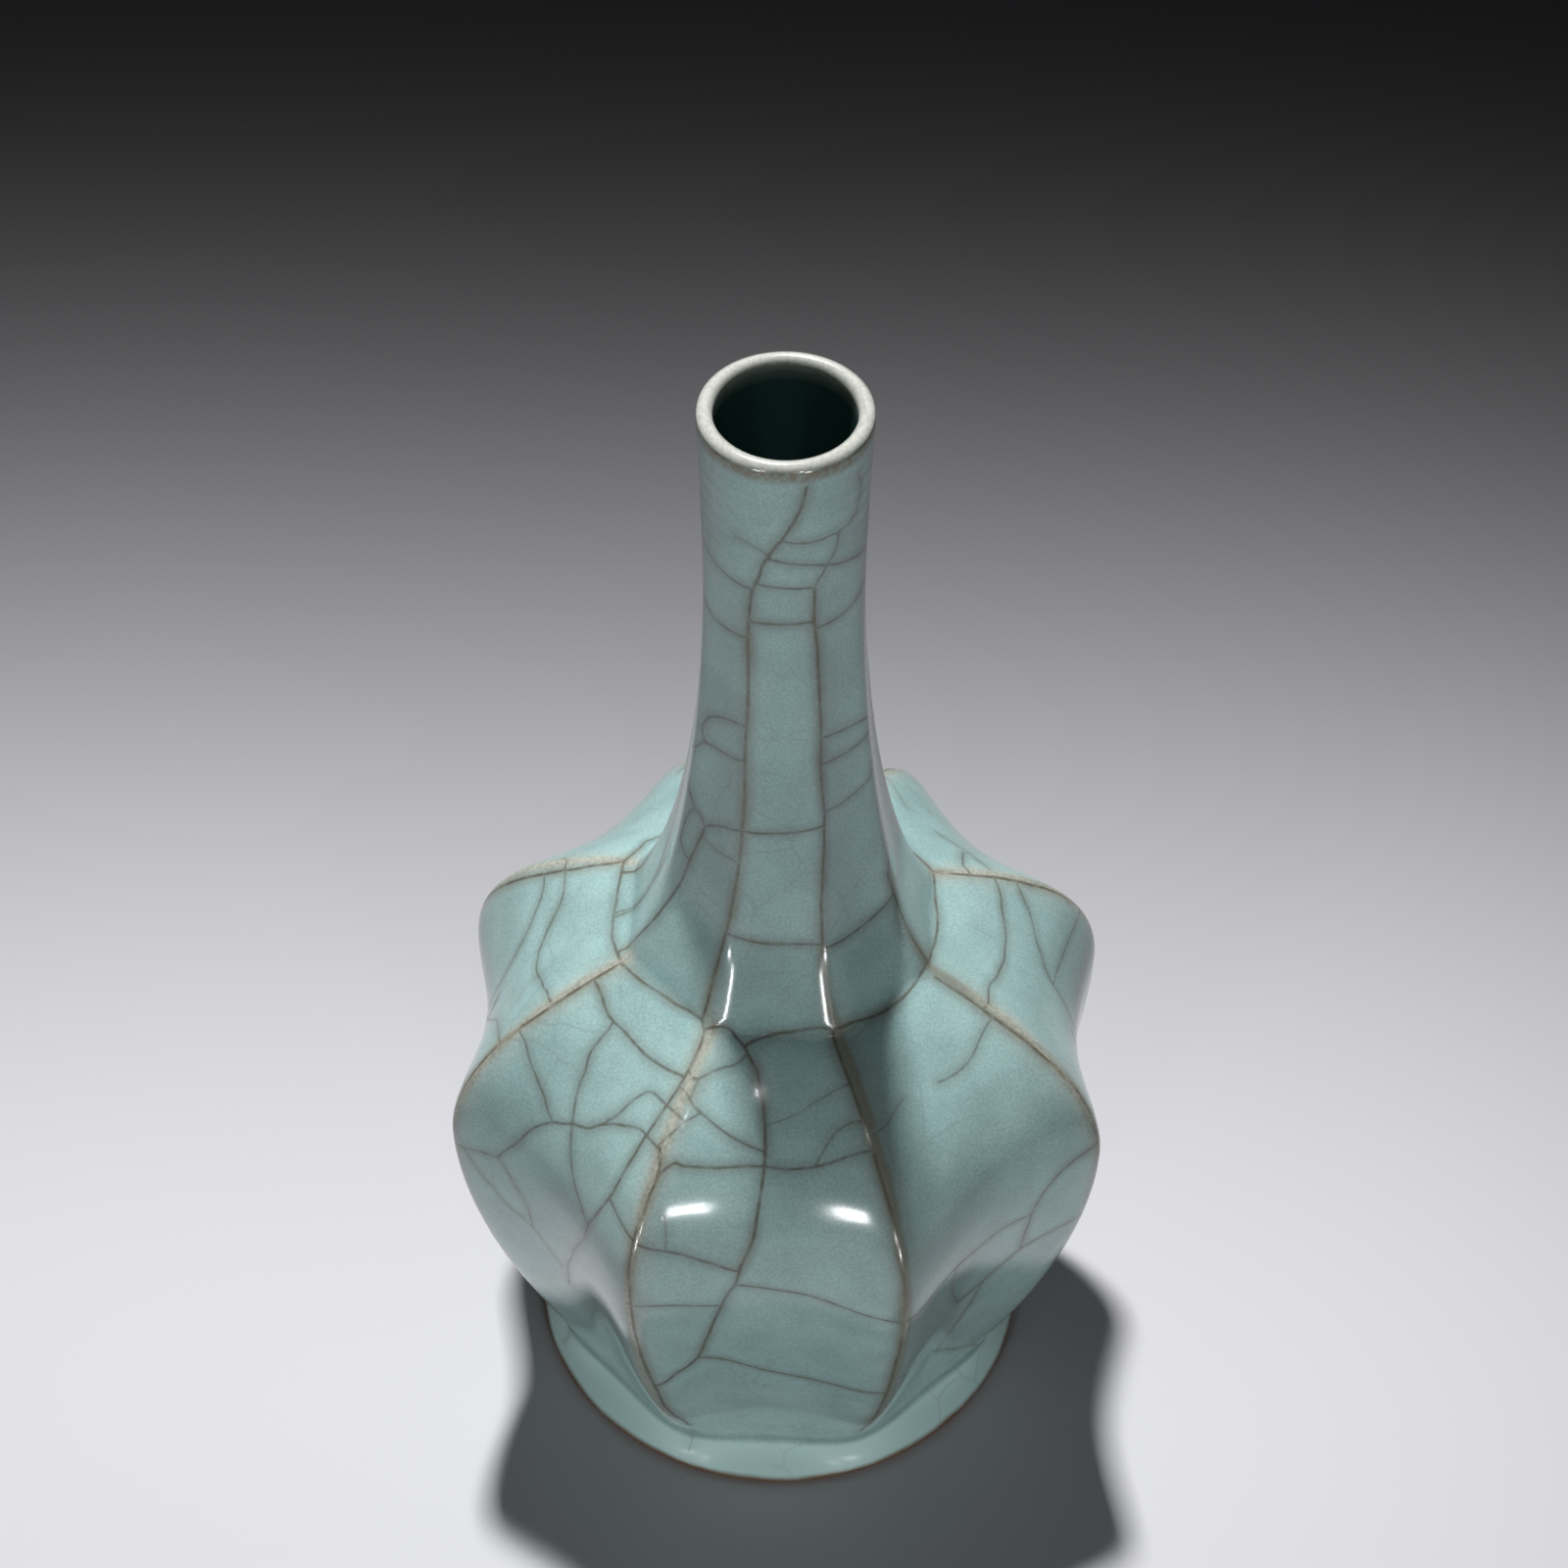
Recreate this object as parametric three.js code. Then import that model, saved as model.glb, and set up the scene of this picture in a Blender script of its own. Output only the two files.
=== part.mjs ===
// A crackle-glazed celadon bottle vase with eight ridges, in millimetres, +Z up.
// The origin is the centre of the foot, on the surface that the vase stands on.
// The potter throws or presses five wall sections and a base slab, scores their flat edges
// and lutes them together with slip, so each luted section is a solid of its own here.

import * as THREE from 'three';

// Heights of the lip and of the flat luted joints
const HEIGHT = 220;
const COLLAR_HEIGHT = 20.4;
const CREASE_HEIGHT = 107.5;
const BELLY_HEIGHT = 73.6;
const FOOT_HEIGHT = 8.2;
const WAIST_HEIGHT = HEIGHT - COLLAR_HEIGHT;

// Outside radii at each joint, on the crest of a ridge and in the valley of a panel
const LIP_RADIUS = 12.9;
const WAIST_RADIUS = 12.4;
const CREASE_RIDGE_RADIUS = 27.1;
const CREASE_VALLEY_RADIUS = 25.1;
const BELLY_RIDGE_RADIUS = 59.4;
const BELLY_VALLEY_RADIUS = 51.5;
const FOOT_RIDGE_RADIUS = 44;
const FOOT_VALLEY_RADIUS = 39.9;
const FOOT_RIM_RADIUS = 45;

// Clay thicknesses, measured level with the table
const LIP_WALL = 2.5;
const NECK_WALL = 3.2;
const CREASE_WALL = 5.5;
const PANEL_WALL = 4;
const RIDGE_WALL = 5.5;
const BASE_THICKNESS = 5;

// The foot: a rim that flares, a flat pad and a recess turned out beneath the base slab
const RIM_CHAMFER = 1.2;
const PAD_WIDTH = 4;
const RECESS_RADIUS = 31;
const BASE_CLEARANCE = 0.4;

// The star section: how many ridges there are, and how far each crest is rounded, in degrees
const RIDGE_COUNT = 8;
const CRISP_CREST = 3;
const SOFT_CREST = 10;

// Facets: columns round half a panel, crowded towards the crest, and steps along each wall
const COLUMNS_PER_HALF_PANEL = 5;
const COLUMN_CROWDING = 1.6;
const WALL_STEPS = 11;
const HOLLOW_STEPS = 6;
const COLLAR_STEPS = 5;
const LIP_STEPS = 6;
const FOOT_STEPS = 4;

// How a wall bows between two joints: the pull of its curve at the upper and the lower end,
// as shares of the wall's change in height, in ridge radius and in valley radius
const COLLAR_BOW = { height: [0.3, 0.4], ridge: [0.25, 0], valley: [0.25, 0] };
const NECK_BOW = { height: [0.56, 0.075], ridge: [0, 0.44], valley: [-0.13, 0.44] };
const SHOULDER_BOW = { height: [0.16, 0.465], ridge: [0.52, 0], valley: [0.41, 0] };
const LOWER_BOW = { height: [0.36, 0.192], ridge: [0, 0.373], valley: [0, 0.162] };
const FOOT_BOW = { height: [0.45, 0.3], ridge: [0, 0.6], valley: [0, 0.4] };
const BORE_BOW = { ...NECK_BOW, valley: NECK_BOW.ridge };
const THROAT_BOW = { height: [0.28, 0.4], ridge: [0.52, 0], valley: [0.52, 0] };
const RECESS_BOW = { height: [0.15, 0.6], ridge: [0.6, 0.1], valley: [0.6, 0.1] };

// Glaze colours and their shine
const GLAZE = 0x789b9b;
const PALE_GLAZE = 0xa9bcb6;
const DEEP_GLAZE = 0x5d8082;
const GLAZE_ROUGHNESS = 0.15;

// A section is the outline of the wall at one height
const section = (height, ridge, valley = ridge) => ({ height, ridge, valley });

const waist = section(WAIST_HEIGHT, WAIST_RADIUS);
const crease = section(CREASE_HEIGHT, CREASE_RIDGE_RADIUS, CREASE_VALLEY_RADIUS);
const belly = section(BELLY_HEIGHT, BELLY_RIDGE_RADIUS, BELLY_VALLEY_RADIUS);
const foot = section(FOOT_HEIGHT, FOOT_RIDGE_RADIUS, FOOT_VALLEY_RADIUS);
const rim = section(RIM_CHAMFER, FOOT_RIM_RADIUS);

// The inside of the wall at the same joints: round in the neck, and softly ridged in the body
const bore = section(WAIST_HEIGHT, WAIST_RADIUS - NECK_WALL);
const throat = section(CREASE_HEIGHT, CREASE_VALLEY_RADIUS - CREASE_WALL);
const bellyHollow = hollowOf(belly);
const footHollow = hollowOf(foot);

// The section inside a ridged wall, which is thicker behind a ridge than behind a panel
function hollowOf({ height, ridge, valley }) {
  return section(height, ridge - RIDGE_WALL, valley - PANEL_WALL);
}

// One value along a bowed wall, from its upper end at share 0 to its lower end at share 1
function bowed(upper, lower, [leave, meet], share) {
  const span = lower - upper;
  const rest = 1 - share;
  return rest ** 3 * upper
    + 3 * rest ** 2 * share * (upper + leave * span)
    + 3 * rest * share ** 2 * (lower - meet * span)
    + share ** 3 * lower;
}

// The sections of a bowed wall between two joints, both ends included
function wall(upper, lower, bow, steps) {
  return Array.from({ length: steps + 1 }, (_, step) => section(
    bowed(upper.height, lower.height, bow.height, step / steps),
    bowed(upper.ridge, lower.ridge, bow.ridge, step / steps),
    bowed(upper.valley, lower.valley, bow.valley, step / steps),
  ));
}

// Directions round the vase, with their angle from the nearest crest, in degrees
function columnsRound() {
  const halfPanel = 180 / RIDGE_COUNT;
  const columns = [];
  for (let ridge = 0; ridge < RIDGE_COUNT; ridge += 1) {
    for (let step = -COLUMNS_PER_HALF_PANEL; step < COLUMNS_PER_HALF_PANEL; step += 1) {
      const share = Math.abs(step / COLUMNS_PER_HALF_PANEL) ** COLUMN_CROWDING;
      const offCrest = Math.sign(step) * share * halfPanel;
      const crest = (2 * ridge + 1) * halfPanel;
      columns.push({ offCrest, bearing: THREE.MathUtils.degToRad(crest + offCrest) });
    }
  }
  return columns;
}

const COLUMNS = columnsRound();

// One ring of points: the radius falls from the rounded crest of each ridge into the valley
function ring({ height, ridge, valley }, crest) {
  const fullFall = Math.hypot(180 / RIDGE_COUNT, crest) - crest;
  return COLUMNS.map(({ offCrest, bearing }) => {
    const fall = Math.hypot(offCrest, crest) - crest;
    const radius = valley + (ridge - valley) * (1 - fall / fullFall) ** 2;
    return [radius * Math.cos(bearing), radius * Math.sin(bearing), height];
  });
}

// A closed solid skinned over rings that run down its outside and back up its inside
function skin(rings) {
  const around = COLUMNS.length;
  const corners = [];
  for (let row = 0; row < rings.length; row += 1) {
    const nextRow = (row + 1) % rings.length;
    for (let column = 0; column < around; column += 1) {
      const nextColumn = (column + 1) % around;
      const topLeft = row * around + column;
      const topRight = row * around + nextColumn;
      const lowLeft = nextRow * around + column;
      const lowRight = nextRow * around + nextColumn;
      corners.push(topLeft, lowLeft, lowRight, topLeft, lowRight, topRight);
    }
  }
  const geometry = new THREE.BufferGeometry();
  geometry.setAttribute('position', new THREE.Float32BufferAttribute(rings.flat(2), 3));
  geometry.setIndex(corners);
  return geometry;
}

// A luted wall section, given from the top down: the crests change from one rounding to another
// over the upper half of its outside, and the hollow inside it is softly ridged or round
function lutedWall(outside, hollow, crestAtTop, crestAtFoot) {
  const crestAt = (row) => {
    const share = Math.min(1, (2 * row) / (outside.length - 1));
    return THREE.MathUtils.lerp(crestAtTop, crestAtFoot, share);
  };
  return skin([
    ...outside.map((outline, row) => ring(outline, crestAt(row))),
    ...hollow.map((outline) => ring(outline, SOFT_CREST)).reverse(),
  ]);
}

// A round solid turned on the wheel from a profile of (radius, height) points
function turned(profile) {
  const points = profile.map(([radius, height]) => new THREE.Vector2(radius, height));
  return new THREE.LatheGeometry(points, COLUMNS.length).rotateX(Math.PI / 2);
}

function piece(name, geometry, color) {
  geometry.computeVertexNormals();
  const material = new THREE.MeshStandardMaterial({ color, roughness: GLAZE_ROUGHNESS, metalness: 0 });
  const mesh = new THREE.Mesh(geometry, material);
  mesh.name = name;
  return mesh;
}

// The round mouth collar, thrown on the wheel: a slight waist, a soft flare and a rolled lip
function mouthCollar() {
  const roll = LIP_WALL / 2;
  const lipOutside = section(HEIGHT - roll, LIP_RADIUS);
  const lipInside = section(HEIGHT - roll, LIP_RADIUS - LIP_WALL);
  const outside = wall(lipOutside, waist, COLLAR_BOW, COLLAR_STEPS).reverse();
  const inside = wall(lipInside, bore, COLLAR_BOW, COLLAR_STEPS);
  const lip = new THREE.EllipseCurve(LIP_RADIUS - roll, HEIGHT - roll, roll, roll, 0, Math.PI);
  return piece('mouth_collar', turned([
    ...outside.map(({ ridge, height }) => [ridge, height]),
    ...lip.getPoints(LIP_STEPS).slice(1, -1).map(({ x, y }) => [x, y]),
    ...inside.map(({ ridge, height }) => [ridge, height]),
    [waist.ridge, waist.height],
  ]), PALE_GLAZE);
}

// The neck: round at the waist, where the ridges run out, and an octagonal skirt at the crease
function neck() {
  const outside = wall(waist, crease, NECK_BOW, WALL_STEPS);
  const inside = wall(bore, throat, BORE_BOW, HOLLOW_STEPS);
  return piece('neck', lutedWall(outside, inside, SOFT_CREST, CRISP_CREST), GLAZE);
}

// The shoulder: ridges sweep out from the crease while the panels between them sink
function shoulder() {
  const outside = wall(crease, belly, SHOULDER_BOW, WALL_STEPS);
  const inside = wall(throat, bellyHollow, THROAT_BOW, HOLLOW_STEPS);
  return piece('shoulder', lutedWall(outside, inside, CRISP_CREST, CRISP_CREST), GLAZE);
}

// The lower body: ridges and panels draw in from the belly to the foot
function lowerBody() {
  const outside = wall(belly, foot, LOWER_BOW, WALL_STEPS);
  const inside = wall(bellyHollow, footHollow, LOWER_BOW, HOLLOW_STEPS);
  return piece('lower_body', lutedWall(outside, inside, CRISP_CREST, CRISP_CREST), GLAZE);
}

// The base slab closes the bottom: it lies on the foot ring, inside the lower body's wall
function baseSlab() {
  const radius = footHollow.valley - BASE_CLEARANCE;
  const top = FOOT_HEIGHT + BASE_THICKNESS;
  const profile = [[0, FOOT_HEIGHT], [radius, FOOT_HEIGHT], [radius, top], [0, top]];
  return piece('base_slab', turned(profile), DEEP_GLAZE);
}

// The foot ring: the star section dies into a round flared rim, with a recess turned out below
function footRing() {
  const padOutside = section(0, FOOT_RIM_RADIUS - RIM_CHAMFER / 2);
  const padInside = section(0, padOutside.ridge - PAD_WIDTH);
  const recessTop = section(FOOT_HEIGHT, RECESS_RADIUS);
  const recessFoot = section(RIM_CHAMFER, padInside.ridge - RIM_CHAMFER / 2);
  const outside = [...wall(foot, rim, FOOT_BOW, FOOT_STEPS), padOutside];
  const inside = [...wall(recessTop, recessFoot, RECESS_BOW, FOOT_STEPS), padInside];
  return piece('foot_ring', lutedWall(outside, inside, CRISP_CREST, SOFT_CREST), GLAZE);
}

const vase = new THREE.Group();
vase.add(mouthCollar(), neck(), shoulder(), lowerBody(), baseSlab(), footRing());

export default vase;
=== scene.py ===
"""A crackle-glazed celadon bottle vase with eight ridges, glazed and lit over its CAD frame."""

import math

import bpy
import numpy as np
from mathutils import Matrix, Vector
from mathutils.geometry import delaunay_2d_cdt
from mathutils.kdtree import KDTree


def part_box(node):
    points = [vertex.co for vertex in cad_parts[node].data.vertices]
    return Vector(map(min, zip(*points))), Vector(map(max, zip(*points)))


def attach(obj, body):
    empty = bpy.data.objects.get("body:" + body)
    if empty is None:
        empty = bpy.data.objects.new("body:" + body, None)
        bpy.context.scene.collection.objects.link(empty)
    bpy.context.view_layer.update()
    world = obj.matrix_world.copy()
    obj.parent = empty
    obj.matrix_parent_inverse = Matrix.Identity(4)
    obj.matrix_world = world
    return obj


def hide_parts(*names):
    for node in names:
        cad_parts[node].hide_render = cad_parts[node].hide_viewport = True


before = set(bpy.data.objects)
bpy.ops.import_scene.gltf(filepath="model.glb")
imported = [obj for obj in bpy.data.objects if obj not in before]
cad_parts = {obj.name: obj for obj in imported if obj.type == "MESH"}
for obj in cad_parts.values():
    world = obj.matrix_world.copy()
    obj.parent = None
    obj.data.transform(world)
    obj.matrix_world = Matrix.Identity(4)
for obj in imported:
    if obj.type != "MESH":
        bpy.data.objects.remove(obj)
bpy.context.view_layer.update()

bl_info = {
    "name": "Celadon Bottle Vase",
    "version": (1, 0, 0),
    "blender": (4, 5, 0),
    "location": "View3D > Sidebar > Vase",
    "description": "Builds the glazed wall sections of a ridged celadon bottle vase and its studio",
    "category": "Add Mesh",
}

MM = 0.001

# Heights of the lip and of the flat luted joints, from the CAD frame
LIP_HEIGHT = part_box("mouth_collar")[1].z
WAIST_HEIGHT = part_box("mouth_collar")[0].z
CREASE_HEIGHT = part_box("neck")[0].z
BELLY_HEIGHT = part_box("shoulder")[0].z
FOOT_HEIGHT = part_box("lower_body")[0].z

# The star section: ridges round the vase, and how far a crest is rounded, in degrees: crisp at the
# crease and along the lower body, keen at the belly, and soft at both ends of the vase
RIDGE_COUNT = 8
PANEL_TURN = 360 / RIDGE_COUNT
CRISP_CREST = 3
KEEN_CREST = 1.8
SOFT_CREST = 10

# How high above the joint at the foot the crests soften
FOOT_SOFTENING = 11 * MM

# How a wall bows between two joints: the pull of its curve at the upper and the lower end,
# as shares of the wall's change in height, in ridge radius and in valley radius
COLLAR_BOW = {"height": (0.3, 0.4), "ridge": (0.25, 0), "valley": (0.25, 0)}
NECK_BOW = {"height": (0.56, 0.075), "ridge": (0, 0.44), "valley": (-0.13, 0.44)}
SHOULDER_BOW = {"height": (0.16, 0.465), "ridge": (0.52, 0), "valley": (0.41, 0)}
LOWER_BOW = {"height": (0.36, 0.192), "ridge": (0, 0.373), "valley": (0, 0.162)}
FOOT_BOW = {"height": (0.45, 0.3), "ridge": (0, 0.6), "valley": (0, 0.4)}
RIM_BOW = {"height": (0.5, 0), "ridge": (0, 0.6), "valley": (0, 0.6)}
BORE_BOW = {"height": (0.56, 0.075), "ridge": (0, 0.44), "valley": (0, 0.44)}
THROAT_BOW = {"height": (0.28, 0.4), "ridge": (0.52, 0), "valley": (0.52, 0)}
RECESS_BOW = {"height": (0.15, 0.6), "ridge": (0.6, 0.1), "valley": (0.6, 0.1)}

# Sections along a wall, round the top of the lip and round a soft edge of the foot
WALL_STEPS = 96
LIP_STEPS = 32
EDGE_STEPS = 8

# Glaze that pools in the flare above the crease: the slope of its skin, how far round the vase it
# rounds off the ridges, in degrees, how much of that shows, and the heights above the crease at
# which it sets in and ends, with the stretch over which it does so
POOL_SLOPE = 0.568
POOL_ROUNDING = 9
POOL_SHARE = 0.96
POOL_START = 0.2 * MM
POOL_RISE = 2 * MM
POOL_TOP = 19 * MM
POOL_FALL = 10 * MM

# The same at the foot: its rounding, how high above the joint it ends, and over which stretch
FOOT_ROUNDING = 10
FOOT_POOL_TOP = 5 * MM
FOOT_POOL_FALL = 4 * MM

# The slab that closes the bottom: its facets, and how its upper edge is softened
SLAB_SIDES = 160
SLAB_BEVEL = 1.2 * MM
SLAB_BEVEL_STEPS = 4
SLAB_SMOOTH_ANGLE = math.radians(35)

# Distances that are painted on the points, in millimetres: the furthest from a crack and from a
# crest, and the one past the lip that stands for the hollow
CRACK_REACH = 9.0
CREST_REACH = 30.0
DEEP_INSIDE = -60.0

# How high above the crease the crest cracks take over from the true crests
SKIRT_BLEND = 5 * MM

# Points of a mesh closer than this are one, and the step in which places on both sides of the back
# seam are matched
SAME_PLACE = 2e-6
SEAM_STEP = 1e-6

# A bearing closer than this to the back seam is on it, in degrees. Points beside a crack keep clear
# of the seam and of the joints.
ON_SEAM = 1e-3
NEAR_SEAM = 179.8
JOINT_CLEAR = 0.15 * MM

# The least length that is divided by
LEAST = 1e-12

# Bearings about which the seen cracks are repeated on the other sides
SIDE = 2 * PANEL_TURN
SIDE_CREST = 1.5 * PANEL_TURN

# Heights in millimetres up to which cracks of the crests, the front and the left are repeated there
CREST_TOP = 82
FRONT_TOP = 86
LEFT_TOP = 92

# Unseen cracks drift up and down: the heights in millimetres at which they stay put, the share of
# the height between two of these that one may move, how many waves this makes round the vase, and
# where they start, in degrees
STILL_HEIGHTS = (8.2, 107.5, 216)
DRIFT = 0.035
DRIFT_WAVES = 3
DRIFT_START = 40

# The brown line below the lip, and the lighter tint on the flare of the foot: its thinner glaze,
# together with painted light on the up-facing flare
BELOW_LIP_TINT = (0.205, 0.190, 0.145)
FLARE_THIN_AND_LIT_TINT = (0.55, 0.785, 0.765)

# Finish of the celadon glaze, whose thin coat gives the highlights
GLAZE_FINISH = {"IOR": 1.5, "Specular IOR Level": 0.18, "Coat IOR": 2.4, "Coat Roughness": 0.17}
GLAZE_ROUGHNESS = 0.09
GLAZE_COAT = 0.14

# The throwing rings on the collar: radians per millimetre past the lip, and where their wave starts
RING_PITCH = 2.1
RING_START = 0.5

# The pale floor: its width, and how much of the light that falls on it goes back to the vase
FLOOR_SIZE = 8
FLOOR_BOUNCE = 0.12

# Painted falloff of the lamps' light, which darkens the floor behind the vase and to its sides: how
# far in front of the axis, or to the left of it, that starts, over which length, and how steeply
FLOOR_LIGHT_BEHIND = (0.048, 0.214, 2.2)
FLOOR_LIGHT_ASIDE = (0.03, 0.34, 4.0)

# The lamps: name, place, height on the axis that it looks at, width, height, and the power that it
# takes a share of
LAMPS = (
    ("top_lamp", (-0.13, 0.52, 1.38), 0.05, 0.11, 0.11, "key_power", 1),
    ("front_lamp_left", (-0.405, -0.965, 0.24), 0.1, 0.055, 0.10, "front_power", 1),
    ("front_lamp_right", (0.362, -0.985, 0.25), 0.1, 0.075, 0.08, "front_power", 1),
    ("low_lamp_left", (-0.52, -0.89, 0.05), 0.1, 0.12, 0.08, "low_power", 0.47),
    ("low_lamp_right", (0.48, -0.91, 0.05), 0.1, 0.12, 0.08, "low_power", 0.53),
    ("high_lamp", (0.10, -0.70, 1.06), 0.1, 0.05, 0.04, "high_power", 1),
)

# The camera: its place, the three directions that it is turned to, and the width of its sensor
CAMERA_PLACE = (0.012556, -0.358917, 0.537531)
CAMERA_RIGHT = (0.99917, 0.04037, 0.00536)
CAMERA_UP = (-0.03355, 0.74123, 0.67041)
CAMERA_BACK = (0.02309, -0.67004, 0.74197)
SENSOR_WIDTH = 36

# Cracks of the front, each as its depth and its points. The ring in the crease goes on round the
# back, and the last two of the neck are guessed. A point is its bearing, in degrees from the front,
# and its height, in millimetres. Depth 1 is a wide brown crack, and 0.2 a hairline.
RIGHT_CREST = [
    (1, [(23, 195.4), (22.8, 192), (22.6, 189.6), (23, 188.1), (23.9, 185.8), (25, 183.3), (25.5, 180),
        (26.1, 175.8), (26.7, 171.7), (27, 167.5), (27, 164.6), (26.3, 161), (26.1, 159.5), (26.3, 155),
        (27, 150.4), (27.2, 147.7), (26.3, 145), (25.6, 141.4), (24.1, 138.2), (23, 134.6), (21.9, 131.5),
        (21.4, 128), (20.8, 123.6), (20.3, 121), (20.6, 115), (20.8, 110.6), (20.8, 108.8)]),
    (1, [(20.8, 108.8), (20.3, 107), (20.8, 105), (21.2, 103), (21.5, 101), (21.8, 96), (22.1, 93),
        (22.3, 90), (22, 85), (22.3, 82), (22.4, 78), (22.3, 70), (22.2, 60), (22, 54), (22, 40), (22, 28),
        (21.9, 22), (21.3, 19), (21.2, 13)]),
]
LEFT_CREST = [
    (1, [(-22.5, 188.5), (-23, 184), (-22.2, 180), (-21.8, 174), (-21.9, 168), (-22.3, 166), (-22.2, 160),
        (-21.4, 155), (-21.1, 146), (-21.7, 137), (-22.2, 134.6), (-23, 130), (-23.9, 126), (-24.8, 123.6),
        (-26.1, 119), (-27, 115), (-27.2, 110.7), (-27.4, 108)]),
    (1, [(-23, 97.9), (-22.6, 97.3), (-22, 96.3), (-21.8, 94.5), (-22.2, 92.7), (-22.3, 90), (-22.6, 88),
        (-22.8, 86), (-22.7, 80), (-22.3, 77), (-22.2, 74), (-22, 66), (-21.8, 58), (-21.5, 50),
        (-21.2, 42), (-21, 38), (-21.2, 30), (-20.9, 26), (-20.3, 22), (-19.5, 19), (-18.8, 15)]),
    (0.2, [(-18.8, 11), (-19.3, 9), (-19.6, 6), (-20, 3)]),
]
SIDE_CRESTS = [
    (1, [(-67.5, 107), (-66.7, 106.5), (-66.5, 104), (-66.6, 102), (-66.8, 100), (-67.2, 98), (-67.7, 94),
        (-67.9, 91), (-67.9, 88), (-67.8, 84), (-67.5, 80)]),
    (0.8, [(65.2, 128), (65.9, 123.6), (66.3, 119), (67, 115), (67.8, 111.5), (68.3, 109)]),
    (1, [(65.2, 107), (65.5, 105.5), (65.7, 104), (65.8, 102.5), (66.2, 100.5), (66.6, 98.5), (66.9, 96),
        (67.3, 94), (67.4, 92), (67.7, 90), (67.8, 84), (67.5, 80)]),
    (1, [(-113, 106.7), (-111.2, 105.9), (-110.6, 104.7), (-109.8, 103), (-109.6, 101.5), (-109.8, 98),
        (-110.2, 95.5), (-110.6, 92.4), (-111.4, 86.8), (-112, 80)]),
    (1, [(112.8, 107), (111.8, 106), (111.4, 104.7), (111.5, 102.7), (111.5, 98), (111.9, 95.5),
        (112.1, 92.8), (112.4, 86), (112.3, 80)]),
]
CREASE_RING = [
    (0.9, [(-27.4, 108), (-25.4, 107.4), (-22, 108.1), (-18.6, 108.6)]),
    (0.9, [(-125, 105.7), (-120, 106.4), (-115, 106.7), (-110, 106.7), (-105, 106.5), (-100, 106.2),
        (-95, 106), (-90, 105.8), (-85, 105.9), (-80, 106.1), (-75, 106.6), (-70, 107), (-66, 107.1),
        (-55, 107), (-45, 107.2), (-40, 107.3), (-35, 107.6), (-30, 107.9), (-27.4, 108)]),
    (0.9, [(-10.5, 106.6), (-6, 107.1), (0, 107.5), (5, 107.8), (10, 108.2), (15, 108.6), (19, 108.7),
        (25, 108.4), (30, 108), (35, 107.4), (40, 107.1), (45, 107), (50, 107), (55, 107.2), (61, 107.6),
        (64, 108.1), (67, 108.4), (70, 108.2), (75, 107.7), (80, 107.3), (90, 107), (100, 107.3),
        (110, 107.5), (120, 107.3), (130, 107), (140, 107.4), (150, 107.9), (158, 108.3), (165, 107.6),
        (172, 107), (180, 107.2), (188, 107.5), (196, 107.9), (202, 108.2), (210, 107.7), (220, 107.2),
        (228, 106.5), (235, 105.7)]),
]
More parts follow.
